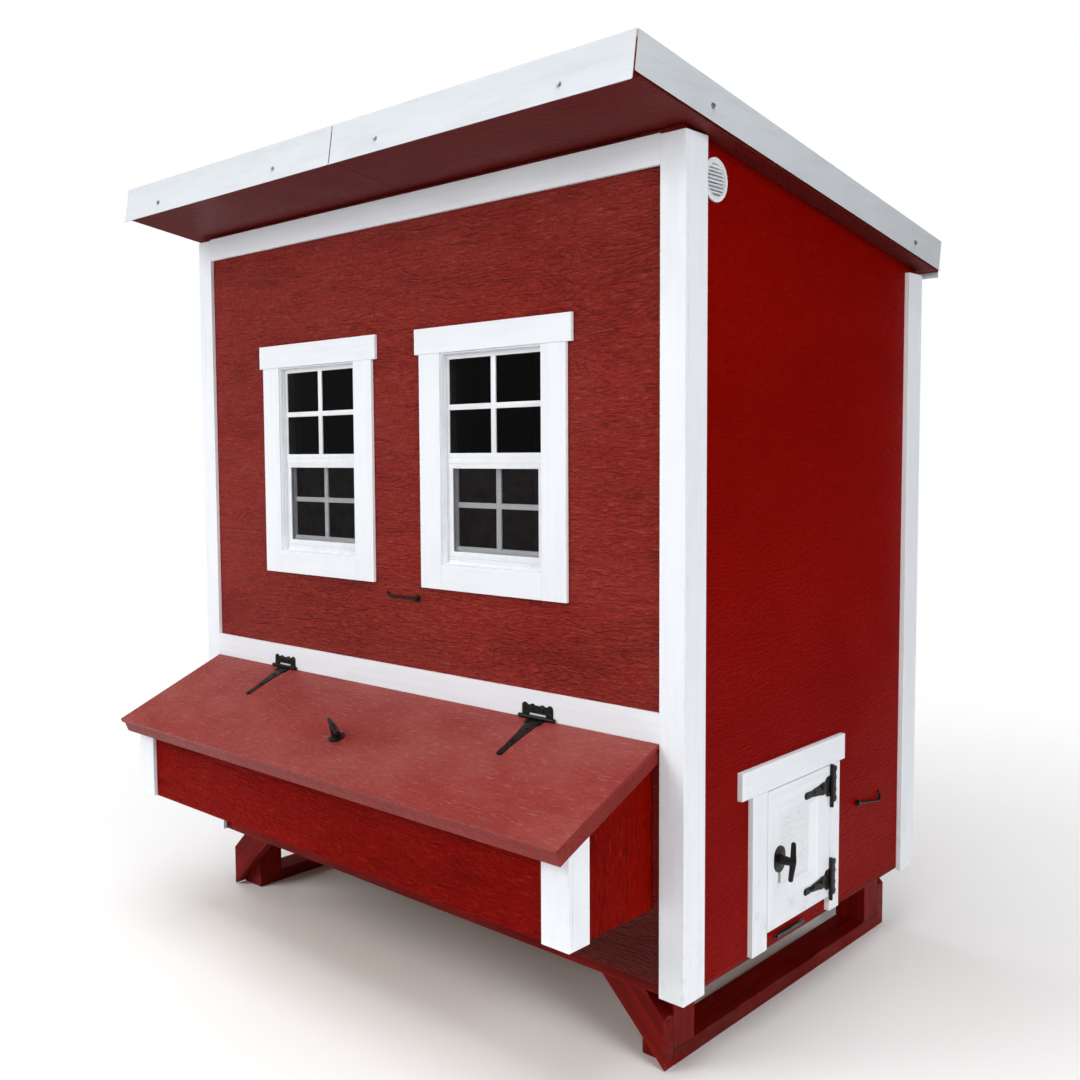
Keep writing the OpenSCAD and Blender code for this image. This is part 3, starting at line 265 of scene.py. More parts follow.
def sawnTimber(name, light, dark, knot):
    material, tree, shader = newMaterial(name)
    place = boardPlace(tree)
    parts = addNode(tree, "ShaderNodeSeparateXYZ", {"Vector": place})
    bend = times(tree, noise(tree, place, softwood["bend"], 2.0, 0.5), softwood["bendReach"])
    across, through = calc(tree, "ADD", parts.outputs["Y"], bend), parts.outputs["Z"]
    radius = calc(tree, "ADD", times(tree, across, across), times(tree, through, through))
    radius = calc(tree, "SQRT", radius)
    rings = calc(tree, "SINE", times(tree, radius, softwood["ringsPerMetre"]))
    fibre = noise(tree, place, softwood["fibres"], 3.0, 0.6)
    colour = blendColour(tree, fade(tree, rings, -0.4, 1.0, 0.0, 0.6), light, dark)
    colour = blendColour(tree, fade(tree, fibre, 0.4, 0.75, 0.0, 0.3), colour, dark)
    spots = addNode(tree, "ShaderNodeTexVoronoi", {"Scale": 1.0,
                    "Vector": stretch(tree, place, softwood["knots"])})
    colour = blendColour(tree, fade(tree, spots.outputs["Distance"], 0.13, 0.06, 0.0, 0.9), colour, knot)
    grain = relief(tree, calc(tree, "ADD", fibre, times(tree, rings, 0.15)), 0.4, 0.0009)
    setSurface(tree, shader, colour, fade(tree, fibre, 0.3, 0.7, 0.66, 0.8), grain, softwood["gloss"])
    return material


strands = {"flakes": (16.0, 46.0, 40.0), "fibres": (30.0, 400.0, 200.0), "fibreShare": 0.4}


def strandBoard(name, pale, dark):
    material, tree, shader = newMaterial(name)
    place = boardPlace(tree)
    flake = addNode(tree, "ShaderNodeTexVoronoi", {"Scale": 1.0,
                    "Vector": stretch(tree, place, strands["flakes"])})
    tone = addNode(tree, "ShaderNodeSeparateColor", {"Color": flake.outputs["Color"]})
    fibre = noise(tree, place, strands["fibres"], 3.0, 0.6)
    colour = blendColour(tree, tone.outputs["Red"], pale, dark)
    colour = blendColour(tree, fade(tree, fibre, 0.35, 0.75, 0.0, strands["fibreShare"]), colour, dark)
    edges = fade(tree, flake.outputs["Distance"], 0.2, 0.7)
    layered = relief(tree, calc(tree, "ADD", edges, fibre), 0.45, 0.0012)
    setSurface(tree, shader, colour, fade(tree, fibre, 0.3, 0.7, 0.6, 0.74), layered)
    return material


rolledSheet = {"canning": (2.2, 2.2, 2.6), "dents": (11.0, 11.0, 14.0), "dentShare": 0.14,
               "film": (5.0, 5.0, 38.0), "scratches": (40.0, 40.0, 900.0), "gloss": 0.45}


def foldedMetal(name, colour, worn, grime):
    material, tree, shader = newMaterial(name)
    place = objectPlace(tree)
    canning = noise(tree, place, rolledSheet["canning"], 1.5, 0.4)  # slack sheet ripples softly
    dents = noise(tree, place, rolledSheet["dents"], 2.0, 0.5)
    film = noise(tree, place, rolledSheet["film"], 5.0, 0.65)
    scratch = noise(tree, place, rolledSheet["scratches"], 2.0, 0.5)
    paint = blendColour(tree, fade(tree, film, 0.42, 0.76, 0.0, 0.35), colour, grime)
    paint = blendColour(tree, fade(tree, scratch, 0.68, 0.76, 0.0, 0.25), paint, worn)
    soft = relief(tree, calc(tree, "ADD", canning, times(tree, dents, rolledSheet["dentShare"])), 0.6, 0.024)
    setSurface(tree, shader, paint, fade(tree, film, 0.3, 0.8, 0.28, 0.44),
               relief(tree, scratch, 0.08, 0.0003, soft), rolledSheet["gloss"])
    return material


coatedIron = {"peel": (420.0, 420.0, 420.0), "rub": (60.0, 60.0, 60.0), "gloss": 0.3, "metallic": 0.1}


def blackIron(name, colour, worn):
    material, tree, shader = newMaterial(name)
    place = objectPlace(tree)
    peel = noise(tree, place, coatedIron["peel"], 2.0, 0.5)
    rub = noise(tree, place, coatedIron["rub"], 5.0, 0.7)
    paint = blendColour(tree, fade(tree, rub, 0.55, 0.76, 0.0, 0.5), colour, worn)
    setSurface(tree, shader, paint, fade(tree, rub, 0.3, 0.75, 0.3, 0.48), relief(tree, peel, 0.35, 0.0006),
               coatedIron["gloss"], coatedIron["metallic"])
    return material


brushedSteel = {"brushing": (300.0, 60.0, 300.0), "stains": (35.0, 35.0, 35.0)}


def plainMetal(name, colour, dull, rough, metallic=0.85):
    material, tree, shader = newMaterial(name)
    place = objectPlace(tree)
    brushed = noise(tree, place, brushedSteel["brushing"], 3.0, 0.6)
    stain = noise(tree, place, brushedSteel["stains"], 4.0, 0.65)
    paint = blendColour(tree, fade(tree, stain, 0.4, 0.72), colour, dull)
    setSurface(tree, shader, paint, fade(tree, brushed, 0.3, 0.7, rough - 0.07, rough + 0.09),
               relief(tree, brushed, 0.12, 0.0003), metallic=metallic)
    return material


mouldedVinyl = {"clouds": (14.0, 14.0, 9.0), "dust": (160.0, 160.0, 160.0), "gloss": 0.4}


def windowVinyl(name, colour, shade):
    material, tree, shader = newMaterial(name)
    place = objectPlace(tree)
    cloud = noise(tree, place, mouldedVinyl["clouds"], 4.0, 0.6)
    dust = noise(tree, place, mouldedVinyl["dust"], 3.0, 0.6)
    paint = blendColour(tree, fade(tree, cloud, 0.4, 0.75, 0.0, 0.5), colour, shade)
    setSurface(tree, shader, paint, fade(tree, cloud, 0.3, 0.7, 0.26, 0.38), relief(tree, dust, 0.06, 0.0004),
               mouldedVinyl["gloss"])
    return material


# the panes' dark tint is painted shade: it darkens whatever is seen through them
pane = {"shadeTint": (0.16, 0.15, 0.15, 1), "bending": 1.2, "gloss": 0.1,
        "smears": (9.0, 9.0, 6.0), "waves": (4.0, 4.0, 5.0)}


def floatGlass(name):
    material, tree, shader = newMaterial(name)
    place = objectPlace(tree)
    smear = noise(tree, place, pane["smears"], 4.0, 0.65, 0.8)
    wave = noise(tree, place, pane["waves"], 1.0, 0.4)
    feed(tree, shader.inputs["Transmission Weight"], 1.0)
    feed(tree, shader.inputs["IOR"], pane["bending"])  # this sets how much the pane mirrors
    setSurface(tree, shader, pane["shadeTint"], fade(tree, smear, 0.5, 0.8, 0.0, 0.06),
               relief(tree, wave, 0.05, 0.004), pane["gloss"])
    return material


lidTurn = math.radians(22.5)  # the nest lid falls this much towards its front edge
lidUp = (0.0, -math.sin(lidTurn), math.cos(lidTurn))
lidTop = {"up": lidUp, "level": max(v.co.dot(Vector(lidUp)) for v in cadNodes["nest_lid"].data.vertices)}
boldGrain = {"cathedrals": 0.8, "lines": 1.0, "recessShade": 0.44, "crestHighlight": 0.3, "dust": 0.12, "gloss": 0.2,
             "shade": 0.86, "depth": 0.016, "footShade": 0.85}
quietGrain = {"cathedrals": 0.3, "lines": 0.5, "recessShade": 0.35, "crestHighlight": 0.12, "dust": 0.0, "gloss": 0.03,
              "shade": 0.88, "depth": 0.0036, "footShade": 0.0}
nestGrain = {**boldGrain, "dust": 0.0, "gloss": 0.02, "depth": 0.008, "footShade": 0.0}
lidGrain = {**quietGrain, "cathedrals": 0.1, "lines": 0.2, "recessShade": 0.25, "crestHighlight": 0.3, "dust": 0.27,
            "gloss": 0.34, "shade": 0.84}
panelGrain = {**quietGrain, "cathedrals": 0.6, "lines": 0.8, "gloss": 0.3, "shade": 0.96, "depth": 0.004}
soffitGrain = {**quietGrain, "cathedrals": 0.8, "dust": 0.06, "gloss": 0.2, "shade": 0.84}
finishes = {
    # One red siding in three copies: the front wall's is paler and dustier, partly real dust and partly
    # painted sheen; the end walls and the nest front carry darker, more saturated copies as painted shade.
    "siding": embossedSiding("barnRedSiding", rgb(146, 27, 16), rgb(76, 8, 5), rgb(176, 92, 80), boldGrain),
    "endSiding": embossedSiding("barnRedEnds", rgb(130, 5, 1), rgb(84, 3, 1), rgb(158, 44, 16), quietGrain),
    "nestSiding": embossedSiding("barnRedNest", rgb(128, 8, 2), rgb(52, 2, 1), rgb(166, 52, 26), nestGrain),
    "lid": embossedSiding("barnRedLid", rgb(130, 22, 14), rgb(92, 12, 8), rgb(186, 116, 108),
                          lidGrain, lidTop),
    "whiteSiding": embossedSiding("whiteSidingPanel", rgb(242, 245, 248), rgb(206, 212, 218),
                                  rgb(244, 244, 242), panelGrain),
    "soffit": embossedSiding("redSoffit", rgb(102, 14, 8), rgb(58, 7, 5), rgb(104, 44, 36), soffitGrain),
    "base": sawnPaint("darkRedLumber", rgb(120, 9, 2), rgb(86, 5, 2), rgb(140, 70, 54), rgb(104, 60, 46)),
    "white": boardPaint("whiteTrimPaint", rgb(239, 243, 248), rgb(218, 224, 231), rgb(150, 140, 130)),
    "timber": sawnTimber("bareSoftwood", rgb(214, 178, 128), rgb(174, 126, 78), rgb(112, 68, 38)),
    "ply": strandBoard("strandBoard", rgb(206, 170, 118), rgb(150, 106, 62)),
    "whiteMetal": foldedMetal("whiteFoldedMetal", rgb(206, 211, 216), rgb(180, 183, 186), rgb(180, 182, 185)),
    "roofing": foldedMetal("ribbedRoofMetal", rgb(206, 210, 214), rgb(180, 184, 188), rgb(168, 170, 170)),
    "iron": blackIron("blackCoatedIron", rgb(17, 12, 12), rgb(48, 37, 36)),
    "zinc": plainMetal("platedScrew", rgb(168, 170, 172), rgb(128, 128, 128), 0.36),
    "rampSteel": plainMetal("dullRampBar", rgb(104, 102, 102), rgb(66, 64, 64), 0.45),
    "vinyl": windowVinyl("windowVinyl", rgb(236, 239, 242), rgb(218, 223, 229)),
    "screen": plainMetal("screenFrameMetal", rgb(230, 233, 237), rgb(222, 226, 230), 0.42, 0.0),
    "wire": plainMetal("screenWire", rgb(66, 62, 62), rgb(46, 43, 43), 0.5),
    "glass": floatGlass("paneGlass"),
}
print("finishes made,", len(finishes))


# Boards keep the CAD shape, with eased edges and a grain that runs along each one

edgeSizes = {"merge": 3e-6, "flat": 0.4, "boardAngle": 25.0, "hardAngle": 40.0, "profile": 0.6, "smooth": 32}


def mergedCopy(nodeName):
    mesh = bmesh.new()
    mesh.from_mesh(cadNodes[nodeName].data)
    bmesh.ops.remove_doubles(mesh, verts=mesh.verts, dist=edgeSizes["merge"])
    flat = math.radians(edgeSizes["flat"])
    bmesh.ops.dissolve_limit(mesh, angle_limit=flat, verts=mesh.verts, edges=mesh.edges)
    return mesh


def islandsOf(mesh):
    mesh.verts.ensure_lookup_table()
    seen, found = set(), []
    for start in mesh.verts:
        if start.index in seen:
            continue
        seen.add(start.index)
        group, queue = [], [start]
        while queue:
            vert = queue.pop()
            group.append(vert)
            for edge in vert.link_edges:
                other = edge.other_vert(vert)
                if other.index not in seen:
                    seen.add(other.index)
                    queue.append(other)
        found.append(group)
    return found


def grainAxes(group, forced):
    faces = {f for v in group for f in v.link_faces}
    edges = {e for v in group for e in v.link_edges}
    through = max(faces, key=lambda f: (round(f.calc_area(), 7), -f.index)).normal.copy()
    if forced:
        along = Vector(forced)
    else:
        longest = max(edges, key=lambda e: (round(e.calc_length(), 5), -e.index))
        along = (longest.verts[1].co - longest.verts[0].co).normalized()
    along = (along - through * along.dot(through)).normalized()
    return along, through.cross(along), through


def finishPiece(mesh, name, nodeNames, material, smoothAngle=None):
    data = bpy.data.meshes.new(name)
    mesh.to_mesh(data)
    mesh.free()
    data.materials.append(material)
    if smoothAngle:
        data.shade_smooth()
        data.set_sharp_from_angle(angle=math.radians(smoothAngle))
    piece = bpy.data.objects.new(name, data)
    bpy.context.scene.collection.objects.link(piece)
    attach(piece, bodyOf[nodeNames[0]])
    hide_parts(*nodeNames)


def easeEdges(mesh, width, sharperThan):
    turn = math.radians(sharperThan)
    sharp = [e for e in mesh.edges if len(e.link_faces) == 2 and e.calc_face_angle() > turn]
    bmesh.ops.bevel(mesh, geom=sharp, offset=width, offset_type="OFFSET", segments=2,
                    profile=edgeSizes["profile"], affect="EDGES", clamp_overlap=True)


def dressBoards(nodeName, finish, ease, along):
    mesh = mergedCopy(nodeName)
    layer = mesh.verts.layers.float_vector.new("boardPlace")
    luck = random.Random(nodeName)  # each board gets its own stretch of grain
    for group in islandsOf(mesh):
        axes = grainAxes(group, along)
        middle = sum((v.co for v in group), Vector()) / len(group)
        shift = Vector((luck.uniform(3, 9), luck.uniform(-0.03, 0.03), luck.uniform(-0.03, 0.03)))
        for v in group:
            v[layer] = Vector([axis.dot(v.co - middle) for axis in axes]) + shift
    easeEdges(mesh, ease, edgeSizes["boardAngle"])
    rub = mesh.verts.layers.float.new("edgeWear")
    for v in mesh.verts:
        widest = max(f.calc_area() / max(e.calc_length() for e in f.edges) for f in v.link_faces)
        v[rub] = 1.0 if widest < ease * 1.3 else 0.0  # only the eased strips are this narrow
    finishPiece(mesh, nodeName + "_dressed", [nodeName], finishes[finish])


boardNodes = {
    "front_siding": ("siding", (1, 0, 0)), "back_siding": ("endSiding", (1, 0, 0)),
    "right_siding": ("endSiding", (0, 1, 0)), "left_siding": ("endSiding", (0, 1, 0)),
    "nest_box_walls": ("nestSiding", None), "nest_lid": ("lid", (1, 0, 0)),
    "walk_door_panel": ("endSiding", (0, 1, 0)), "soffit_panels": ("soffit", None),
    "roof_edge_boards": ("base", None), "skid_runners": ("base", None), "skid_legs": ("base", None),
    "skid_braces": ("base", None), "floor_joists": ("base", None), "corner_boards": ("white", None),
    "wall_trim_boards": ("white", None), "window_casings": ("white", None),
    "nest_corner_boards": ("white", None), "door_trim_boards": ("white", None),
    "hen_door_boards": ("white", None), "hen_door_panel": ("whiteSiding", (0, 1, 0)),
    "walk_door_boards": ("white", None), "front_wall_studs": ("timber", None),
    "back_wall_studs": ("timber", None), "end_wall_studs": ("timber", None), "rafters": ("timber", None),
    "roost_ladder": ("timber", None), "floor_deck": ("ply", (1, 0, 0)), "roof_sheathing": ("ply", None),
    "nest_box_floor": ("ply", (1, 0, 0)), "nest_partitions": ("ply", None),
}
roundedEdges = {"base": 0.003, "timber": 0.0025, "ply": 0.0006}
paintedEdge = 0.0013
for nodeName, (finish, along) in boardNodes.items():
    dressBoards(nodeName, finish, roundedEdges.get(finish, paintedEdge), along)
print("boards dressed,", len(boardNodes))


# Metal and vinyl keep the CAD shape, with smooth curves and eased edges

def dressHard(nodeName, finish, ease):
    mesh = mergedCopy(nodeName)
    if ease:
        easeEdges(mesh, ease, edgeSizes["hardAngle"])
    finishPiece(mesh, nodeName + "_dressed", [nodeName], finishes[finish], edgeSizes["smooth"])


hardNodes = {
    "front_drip_edges": ("whiteMetal", 0), "side_drip_edges": ("whiteMetal", 0),
    "back_drip_edge": ("whiteMetal", 0),
    "window_frames": ("vinyl", 0.0009), "upper_window_grids": ("vinyl", 0.0012),
    "right_lower_sash": ("vinyl", 0.0009), "left_lower_sash": ("vinyl", 0.0009),
    "window_screen_frames": ("screen", 0.0007), "gable_vents": ("vinyl", 0),
    "hinge_plates": ("iron", 0), "hinge_pins": ("iron", 0), "lid_hinge_straps": ("iron", 0),
    "hen_hinge_straps": ("iron", 0), "walk_hinge_straps": ("iron", 0), "lid_handle": ("iron", 0),
    "hen_door_handle": ("iron", 0), "walk_door_handle": ("iron", 0), "lid_handle_plate": ("iron", 0),
    "hen_handle_plate": ("iron", 0), "walk_handle_plate": ("iron", 0), "lid_hook": ("iron", 0),
    "hen_door_hook": ("iron", 0), "screws_and_keeper": ("iron", 0), "ramp_bar": ("rampSteel", 0.0008),
}
for nodeName, (finish, ease) in hardNodes.items():
    dressHard(nodeName, finish, ease)
keyTop = 0.388
keyedPlate = bpy.data.objects["hen_handle_plate_dressed"].data  # the key below the handle is bare metal
keyedPlate.materials.append(finishes["zinc"])
for face in keyedPlate.polygons:
    face.material_index = int(face.center.z < keyTop)
for nodeName in ("upper_window_glass", "right_lower_glass", "left_lower_glass"):
    cadNodes[nodeName].data.materials.clear()
    cadNodes[nodeName].data.materials.append(finishes["glass"])
print("hardware dressed,", len(hardNodes))


# Layout trees: each one repeats or sweeps a shape by rule and is turned into plain mesh

def openTree(name, sizes):
    tree = bpy.data.node_groups.new(name, "GeometryNodeTree")
    for label, value in sizes.items():
        kind = "Int" if isinstance(value, int) else "Float" if isinstance(value, float) else "Vector"
        tree.interface.new_socket(name=label, in_out="INPUT", socket_type="NodeSocket" + kind)
    tree.interface.new_socket(name="Geometry", in_out="OUTPUT", socket_type="NodeSocketGeometry")
    return tree, tree.nodes.new("NodeGroupInput").outputs


def closeTree(tree, shapes, material):
    joined = addNode(tree, "GeometryNodeJoinGeometry")
    for shape in shapes:
        tree.links.new(shape, joined.inputs["Geometry"])
    real = addNode(tree, "GeometryNodeRealizeInstances", {"Geometry": joined.outputs["Geometry"]})
    paint = addNode(tree, "GeometryNodeSetMaterial", {"Geometry": real.outputs["Geometry"],
                    "Material": material})
    tree.links.new(paint.outputs["Geometry"], tree.nodes.new("NodeGroupOutput").inputs["Geometry"])


def runTree(tree, sizes):
    carrier = bpy.data.objects.new(tree.name + "Carrier", bpy.data.meshes.new(tree.name + "Carrier"))
    bpy.context.scene.collection.objects.link(carrier)
    layout = carrier.modifiers.new("layout", "NODES")
    layout.node_group = tree
    for item in tree.interface.items_tree:
        if item.in_out == "INPUT":
            layout[item.identifier] = sizes[item.name]
    depsgraph = bpy.context.evaluated_depsgraph_get()
    mesh = bpy.data.meshes.new_from_object(carrier.evaluated_get(depsgraph), depsgraph=depsgraph)
    carrier.modifiers.clear()
    bpy.data.objects.remove(carrier)
    return mesh


def gather(parts):  # several meshes, each with its own place, in one
    whole = bmesh.new()
    for part, matrix in parts:
        before = len(whole.verts)
        whole.from_mesh(part)
        bmesh.ops.transform(whole, matrix=matrix, verts=whole.verts[before:])
    return whole


def vec(tree, x=None, y=None, z=None):
    return addNode(tree, "ShaderNodeCombineXYZ", {"X": x, "Y": y, "Z": z}).outputs[0]


# Insect mesh: woven wires across each half screen

windowMiddle = 0.346  # from the coop's middle to each window's
meshLow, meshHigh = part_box("window_screen_mesh")
screenWire = {"Width": (meshHigh.x - windowMiddle) * 2, "Height": meshHigh.z - meshLow.z, "Pitch": 0.0021,
              "Thickness": 0.00026, "Reach": 0.4975}


def wireGrid(sizes, material):
    tree, given = openTree("screenWires", sizes)
    runs = []
    for span, reach in (("Width", "Height"), ("Height", "Width")):
        high = times(tree, given[span], given["Reach"])
        low = times(tree, high, -1.0)
        ends = [vec(tree, x=v) if span == "Width" else vec(tree, z=v) for v in (low, high)]
        count = calc(tree, "DIVIDE", given[span], given["Pitch"])
        line = addNode(tree, "GeometryNodeMeshLine", {"Count": count, "Start Location": ends[0],
                       "Offset": ends[1]}, mode="END_POINTS")
        thick, far = given["Thickness"], given[reach]
        size = vec(tree, thick, thick, far) if span == "Width" else vec(tree, far, thick, thick)
        wire = addNode(tree, "GeometryNodeMeshCube", {"Size": size})
        runs.append(addNode(tree, "GeometryNodeInstanceOnPoints", {
            "Points": line.outputs["Mesh"], "Instance": wire.outputs["Mesh"]}).outputs["Instances"])
    closeTree(tree, runs, material)
    return tree


wires = runTree(wireGrid(screenWire, finishes["wire"]), screenWire)
depth, level = (meshLow.y + meshHigh.y) / 2, (meshLow.z + meshHigh.z) / 2
woven = gather([(wires, Matrix.Translation((side * windowMiddle, depth, level))) for side in (-1, 1)])
finishPiece(woven, "insect_mesh", ["window_screen_mesh"], finishes["wire"])
print("insect mesh woven,", round(screenWire["Width"] / screenWire["Pitch"]), "wires across")


# Roof frame: x along the coop, y down the slope, z off the soffit

roof = {"frontFace": -0.4453106, "soffitHeight": 2.146, "fall": 0.156, "frontEdge": -0.2585, "depth": 1.2578,
        "side": 0.965, "sheathTop": 0.089, "edgeMetal": 0.0015, "sheetInset": 0.042, "seamLap": 0.036}
roofTurn = Matrix.Rotation(-math.atan(roof["fall"]), 4, "X")
roofPlace = Matrix.Translation((0, roof["frontFace"], roof["soffitHeight"])) @ roofTurn
roofBack = roof["depth"] / math.cos(math.atan(roof["fall"])) - roof["edgeMetal"]
roofSide = roof["side"]
sheetEdge = roofSide - roof["sheetInset"]
sheetStart, sheetEnd = roof["frontEdge"] + roof["sheetInset"], roofBack - 0.002

ribbedSheet = {"First Rib": 0, "Ribs": 4, "Pitch": roofSide * 0.2373, "Foot": 0.031, "Crown": 0.0122,
               "Height": 0.019, "Left Edge": 0.0, "Right Edge": 0.0, "Length": sheetEnd - sheetStart,
               "Thickness": 0.0011, "Bend Radius": 0.005, "Lap Lift": 0.0}


def ribbedProfile(sizes, material):
    tree, given = openTree("ribbedSheet", sizes)
    index = addNode(tree, "GeometryNodeInputIndex").outputs["Index"]
    count = calc(tree, "MULTIPLY_ADD", given["Ribs"], 4.0, 2.0)
    step = calc(tree, "SUBTRACT", index, 1.0)
    rib = calc(tree, "FLOOR", calc(tree, "DIVIDE", step, 4.0))
    corner = calc(tree, "SUBTRACT", step, times(tree, rib, 4.0))
    side = calc(tree, "MULTIPLY_ADD", calc(tree, "GREATER_THAN", corner, 1.5), 2.0, -1.0)
    raised = calc(tree, "COMPARE", corner, 1.5, 0.6)
    narrower = calc(tree, "SUBTRACT", given["Crown"], given["Foot"])
    reach = calc(tree, "MULTIPLY_ADD", raised, narrower, given["Foot"])
    middle = times(tree, calc(tree, "ADD", given["First Rib"], rib), given["Pitch"])
    x = calc(tree, "MULTIPLY_ADD", side, reach, middle)
    first = calc(tree, "LESS_THAN", index, 0.5)
    last = calc(tree, "GREATER_THAN", index, calc(tree, "SUBTRACT", count, 1.5))
    for edge, flag in (("Left Edge", first), ("Right Edge", last)):
        x = calc(tree, "MULTIPLY_ADD", flag, calc(tree, "SUBTRACT", given[edge], x), x)
    inside = calc(tree, "SUBTRACT", 1.0, calc(tree, "ADD", first, last))
    lapped = times(tree, calc(tree, "LESS_THAN", index, 4.5), given["Lap Lift"])
    z = calc(tree, "ADD", times(tree, times(tree, raised, inside), given["Height"]), lapped)
    line = addNode(tree, "GeometryNodeMeshLine", {"Count": count})
    bent = addNode(tree, "GeometryNodeSetPosition", {"Geometry": line.outputs["Mesh"],
                   "Position": vec(tree, x, None, z)})
    curve = addNode(tree, "GeometryNodeMeshToCurve", {"Mesh": bent.outputs["Geometry"]})
    soft = addNode(tree, "GeometryNodeFilletCurve", {"Curve": curve.outputs["Curve"], "Count": 3,
                   "Radius": given["Bend Radius"], "Limit Radius": True}, mode="POLY")
    level = addNode(tree, "GeometryNodeSetCurveNormal", {"Curve": soft.outputs["Curve"]}, mode="Z_UP")
    strip = addNode(tree, "GeometryNodeCurvePrimitiveQuadrilateral", {"Width": given["Length"],
                    "Height": given["Thickness"]})
    sheet = addNode(tree, "GeometryNodeCurveToMesh", {"Curve": level.outputs["Curve"],
                    "Profile Curve": strip.outputs["Curve"], "Fill Caps": True})
    closeTree(tree, [sheet.outputs["Mesh"]], material)
    return tree


ribbedTree = ribbedProfile(ribbedSheet, finishes["roofing"])
leftSheet = runTree(ribbedTree, {**ribbedSheet, "First Rib": -3, "Left Edge": -sheetEdge,
                                 "Right Edge": roof["seamLap"]})
rightSheet = runTree(ribbedTree, {**ribbedSheet, "Left Edge": 0.001 - roof["seamLap"],
                                  "Right Edge": sheetEdge, "Lap Lift": 0.0013})
laid = roofPlace @ Matrix.Translation((0, (sheetStart + sheetEnd) / 2, roof["sheathTop"] + 0.0006))
sheets = gather([(leftSheet, laid), (rightSheet, laid)])
bmesh.ops.recalc_face_normals(sheets, faces=sheets.faces)
finishPiece(sheets, "ribbed_roof_metal", ["roofing_sheets"], finishes["roofing"], 40)
print("roof metal rolled,", len(leftSheet.polygons) + len(rightSheet.polygons), "faces")


# Roof screws: a washer and a hex head on every fixing point

roofScrew = {"Count": 4, "Start": (0.0, 0.0, 0.0), "Step": (0.0, 0.0, 0.0), "Turn": (0.0, 0.0, 0.0),
             "Washer Radius": 0.007, "Washer Height": 0.0012, "Head Radius": 0.0044, "Head Height": 0.0034}


def screwRow(sizes, material):
    tree, given = openTree("screwRow", sizes)
    washer = addNode(tree, "GeometryNodeMeshCone", {"Vertices": 16, "Radius Bottom": given["Washer Radius"],
                     "Radius Top": times(tree, given["Washer Radius"], 0.86),
                     "Depth": given["Washer Height"]})
    head = addNode(tree, "GeometryNodeMeshCone", {"Vertices": 6, "Radius Bottom": given["Head Radius"],
                   "Radius Top": times(tree, given["Head Radius"], 0.9), "Depth": given["Head Height"]})
    raised = addNode(tree, "GeometryNodeTransform", {"Geometry": head.outputs["Mesh"],
                     "Translation": (0, 0, 0.001)})
    screw = addNode(tree, "GeometryNodeJoinGeometry")
    for part in (washer.outputs["Mesh"], raised.outputs["Geometry"]):
        tree.links.new(part, screw.inputs["Geometry"])
    row = addNode(tree, "GeometryNodeMeshLine", {"Count": given["Count"], "Start Location": given["Start"],
                  "Offset": given["Step"]}, mode="OFFSET")
    placed = addNode(tree, "GeometryNodeInstanceOnPoints", {"Points": row.outputs["Mesh"],
                     "Instance": screw.outputs["Geometry"], "Rotation": given["Turn"]})
    closeTree(tree, [placed.outputs["Instances"]], material)
    return tree


screwTree = screwRow(roofScrew, finishes["zinc"])
quarter = math.pi / 2
screwRows = []
for start in (-0.804, 0.2124):  # the front and back edges, two screws on each half
    along = {"Count": 2, "Step": (0.5916 * roofSide, 0.0, 0.0)}
    screwRows.append({**along, "Start": (start * roofSide, -0.26, 0.021), "Turn": (quarter, 0.0, 0.0)})
    screwRows.append({**along, "Start": (start * roofSide, roofBack + roof["edgeMetal"], 0.038),
                      "Turn": (-quarter, 0.0, 0.0)})
for side in (-1, 1):
    screwRows.append({"Count": 2, "Start": (side * (roofSide + roof["edgeMetal"]), 0.021 * roofBack, 0.038),
                      "Step": (0.0, 0.839 * roofBack, 0.0), "Turn": (0.0, side * quarter, 0.0)})
for k in range(-3, 4):  # down the roof, beside each rib
    screwRows.append({"Start": (k * ribbedSheet["Pitch"] + 0.06, -0.094 * roofBack,
                                roof["sheathTop"] + roofScrew["Washer Height"]),
                      "Step": (0.0, 0.346 * roofBack, 0.0)})
screws = gather([(runTree(screwTree, {**roofScrew, **row}), roofPlace) for row in screwRows])
finishPiece(screws, "roof_fixings", ["roof_screws"], finishes["zinc"], 30)
print("roof screws set,", len(screwRows), "rows")


# Studio: pale floor, soft light, camera where the photograph was taken

camera = {"focal": 1149.912, "centreX": 441.517, "centreY": 525.022, "place": (2.31943, -2.61098, 1.45329),
          "right": (0.70964028, 0.70448263, -0.01071885), "down": (0.03886659, -0.05433236, -0.9977662),
          "ahead": (-0.70349133, 0.70763848, -0.06593727)}
photoSize = 1080
lens = bpy.data.cameras.new("photoCamera")
lens.sensor_width = 36.0
lens.lens = camera["focal"] / photoSize * lens.sensor_width
lens.shift_x = (photoSize / 2 - camera["centreX"]) / photoSize
lens.shift_y = (camera["centreY"] - photoSize / 2) / photoSize
lens.clip_start, lens.clip_end = 0.05, 100
photoCamera = bpy.data.objects.new("photoCamera", lens)
right, down, ahead = Vector(camera["right"]), Vector(camera["down"]), Vector(camera["ahead"])
turn = Matrix((right, -down, -ahead)).transposed().to_4x4()
photoCamera.matrix_world = Matrix.Translation(camera["place"]) @ turn
bpy.context.scene.collection.objects.link(photoCamera)
bpy.context.scene.camera = photoCamera

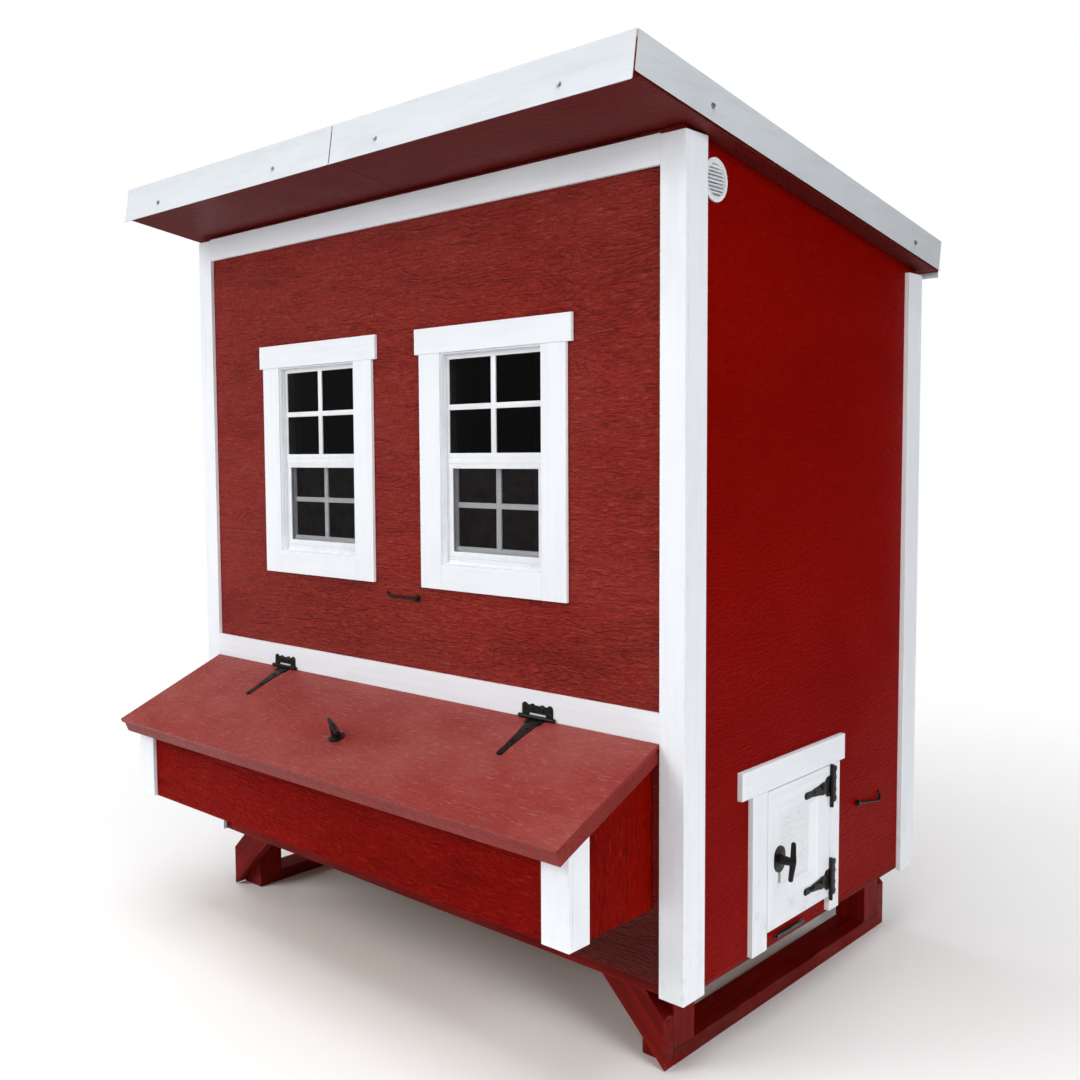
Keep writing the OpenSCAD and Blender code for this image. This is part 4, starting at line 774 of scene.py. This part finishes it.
floorSizes = {"reach": 30, "level": -0.001, "meltFrom": 1.9, "meltTo": 4.4, "tone": (0.8, 0.8, 0.8)}
floorMaterial, floorTree, floorShader = newMaterial("paleFloor")
tone = noise(floorTree, objectPlace(floorTree), floorSizes["tone"])
feed(floorTree, floorShader.inputs["Base Color"],
     blendColour(floorTree, tone, (0.95, 0.95, 0.95, 1), (0.92, 0.92, 0.92, 1)))
floorShader.inputs["Roughness"].default_value = 0.7
away = addNode(floorTree, "ShaderNodeVectorMath", {0: objectPlace(floorTree)},
               operation="LENGTH").outputs["Value"]
melt = addNode(floorTree, "ShaderNodeMixShader",  # the floor melts into the backdrop
               {"Fac": fade(floorTree, away, floorSizes["meltFrom"], floorSizes["meltTo"])})
feed(floorTree, melt.inputs[1], floorShader.outputs["BSDF"])
feed(floorTree, melt.inputs[2], floorTree.nodes.new("ShaderNodeBsdfTransparent").outputs["BSDF"])
feed(floorTree, floorTree.nodes["Material Output"].inputs["Surface"], melt.outputs["Shader"])
floorMesh = bpy.data.meshes.new("studioFloor")
reach, level = floorSizes["reach"], floorSizes["level"]
corners = [(x * reach, y * reach, level) for x, y in ((-1, -1), (1, -1), (1, 1), (-1, 1))]
floorMesh.from_pydata(corners, [], [(0, 1, 2, 3)])
floorMesh.materials.append(floorMaterial)
studioFloor = bpy.data.objects.new("studioFloor", floorMesh)
bpy.context.scene.collection.objects.link(studioFloor)

world = bpy.data.worlds.new("studioWorld")
bpy.context.scene.world = world
world.use_nodes = True
backdrop = world.node_tree
seen = backdrop.nodes.new("ShaderNodeLightPath").outputs["Is Camera Ray"]
backdrop.nodes["Background"].inputs["Color"].default_value = (1.0, 1.0, 1.0, 1)
skyGlow = {"darkSide": (0.45, 0.9, -0.2), "bright": 0.36, "dim": 0.06}  # light from behind the coop is dim
sky = backdrop.nodes.new("ShaderNodeTexCoord").outputs["Generated"]
facing = addNode(backdrop, "ShaderNodeVectorMath", {0: sky, 1: skyGlow["darkSide"]}, operation="DOT_PRODUCT")
around = fade(backdrop, facing.outputs["Value"], -0.5, 0.6, skyGlow["bright"], skyGlow["dim"])
feed(backdrop, backdrop.nodes["Background"].inputs["Strength"], calc(backdrop, "MAXIMUM", around, seen))


studioLights = {  # place, aim, width in metres and watts
    "frontKey": ((-2.8, -5.6, 3.8), (0, 0, 1.2), 3.0, 214),
    "rightFill": ((5.4, -1.6, 3.0), (0.9, 0.2, 1.1), 3.0, 158),
    "leftFill": ((-5.6, 1.0, 3.0), (-0.9, 0, 1.1), 3.0, 80),
    "backFill": ((0.5, 6.2, 3.4), (0, 0.9, 1.2), 3.0, 110),
    "topFill": ((0.6, -1.4, 7.0), (0.6, -1.4, 0), 5.0, 280),
}
for name, (place, aim, width, watts) in studioLights.items():
    light = bpy.data.lights.new(name, "AREA")
    light.shape = "SQUARE"
    light.size = width
    light.energy = watts
    lamp = bpy.data.objects.new(name, light)
    lamp.location = place
    lamp.rotation_euler = (Vector(aim) - Vector(place)).to_track_quat("-Z", "Y").to_euler()
    lamp.visible_glossy = name == "frontKey"  # the only light that gloss mirrors
    bpy.context.scene.collection.objects.link(lamp)
bpy.context.scene.view_settings.view_transform = "Standard"
print("studio set")
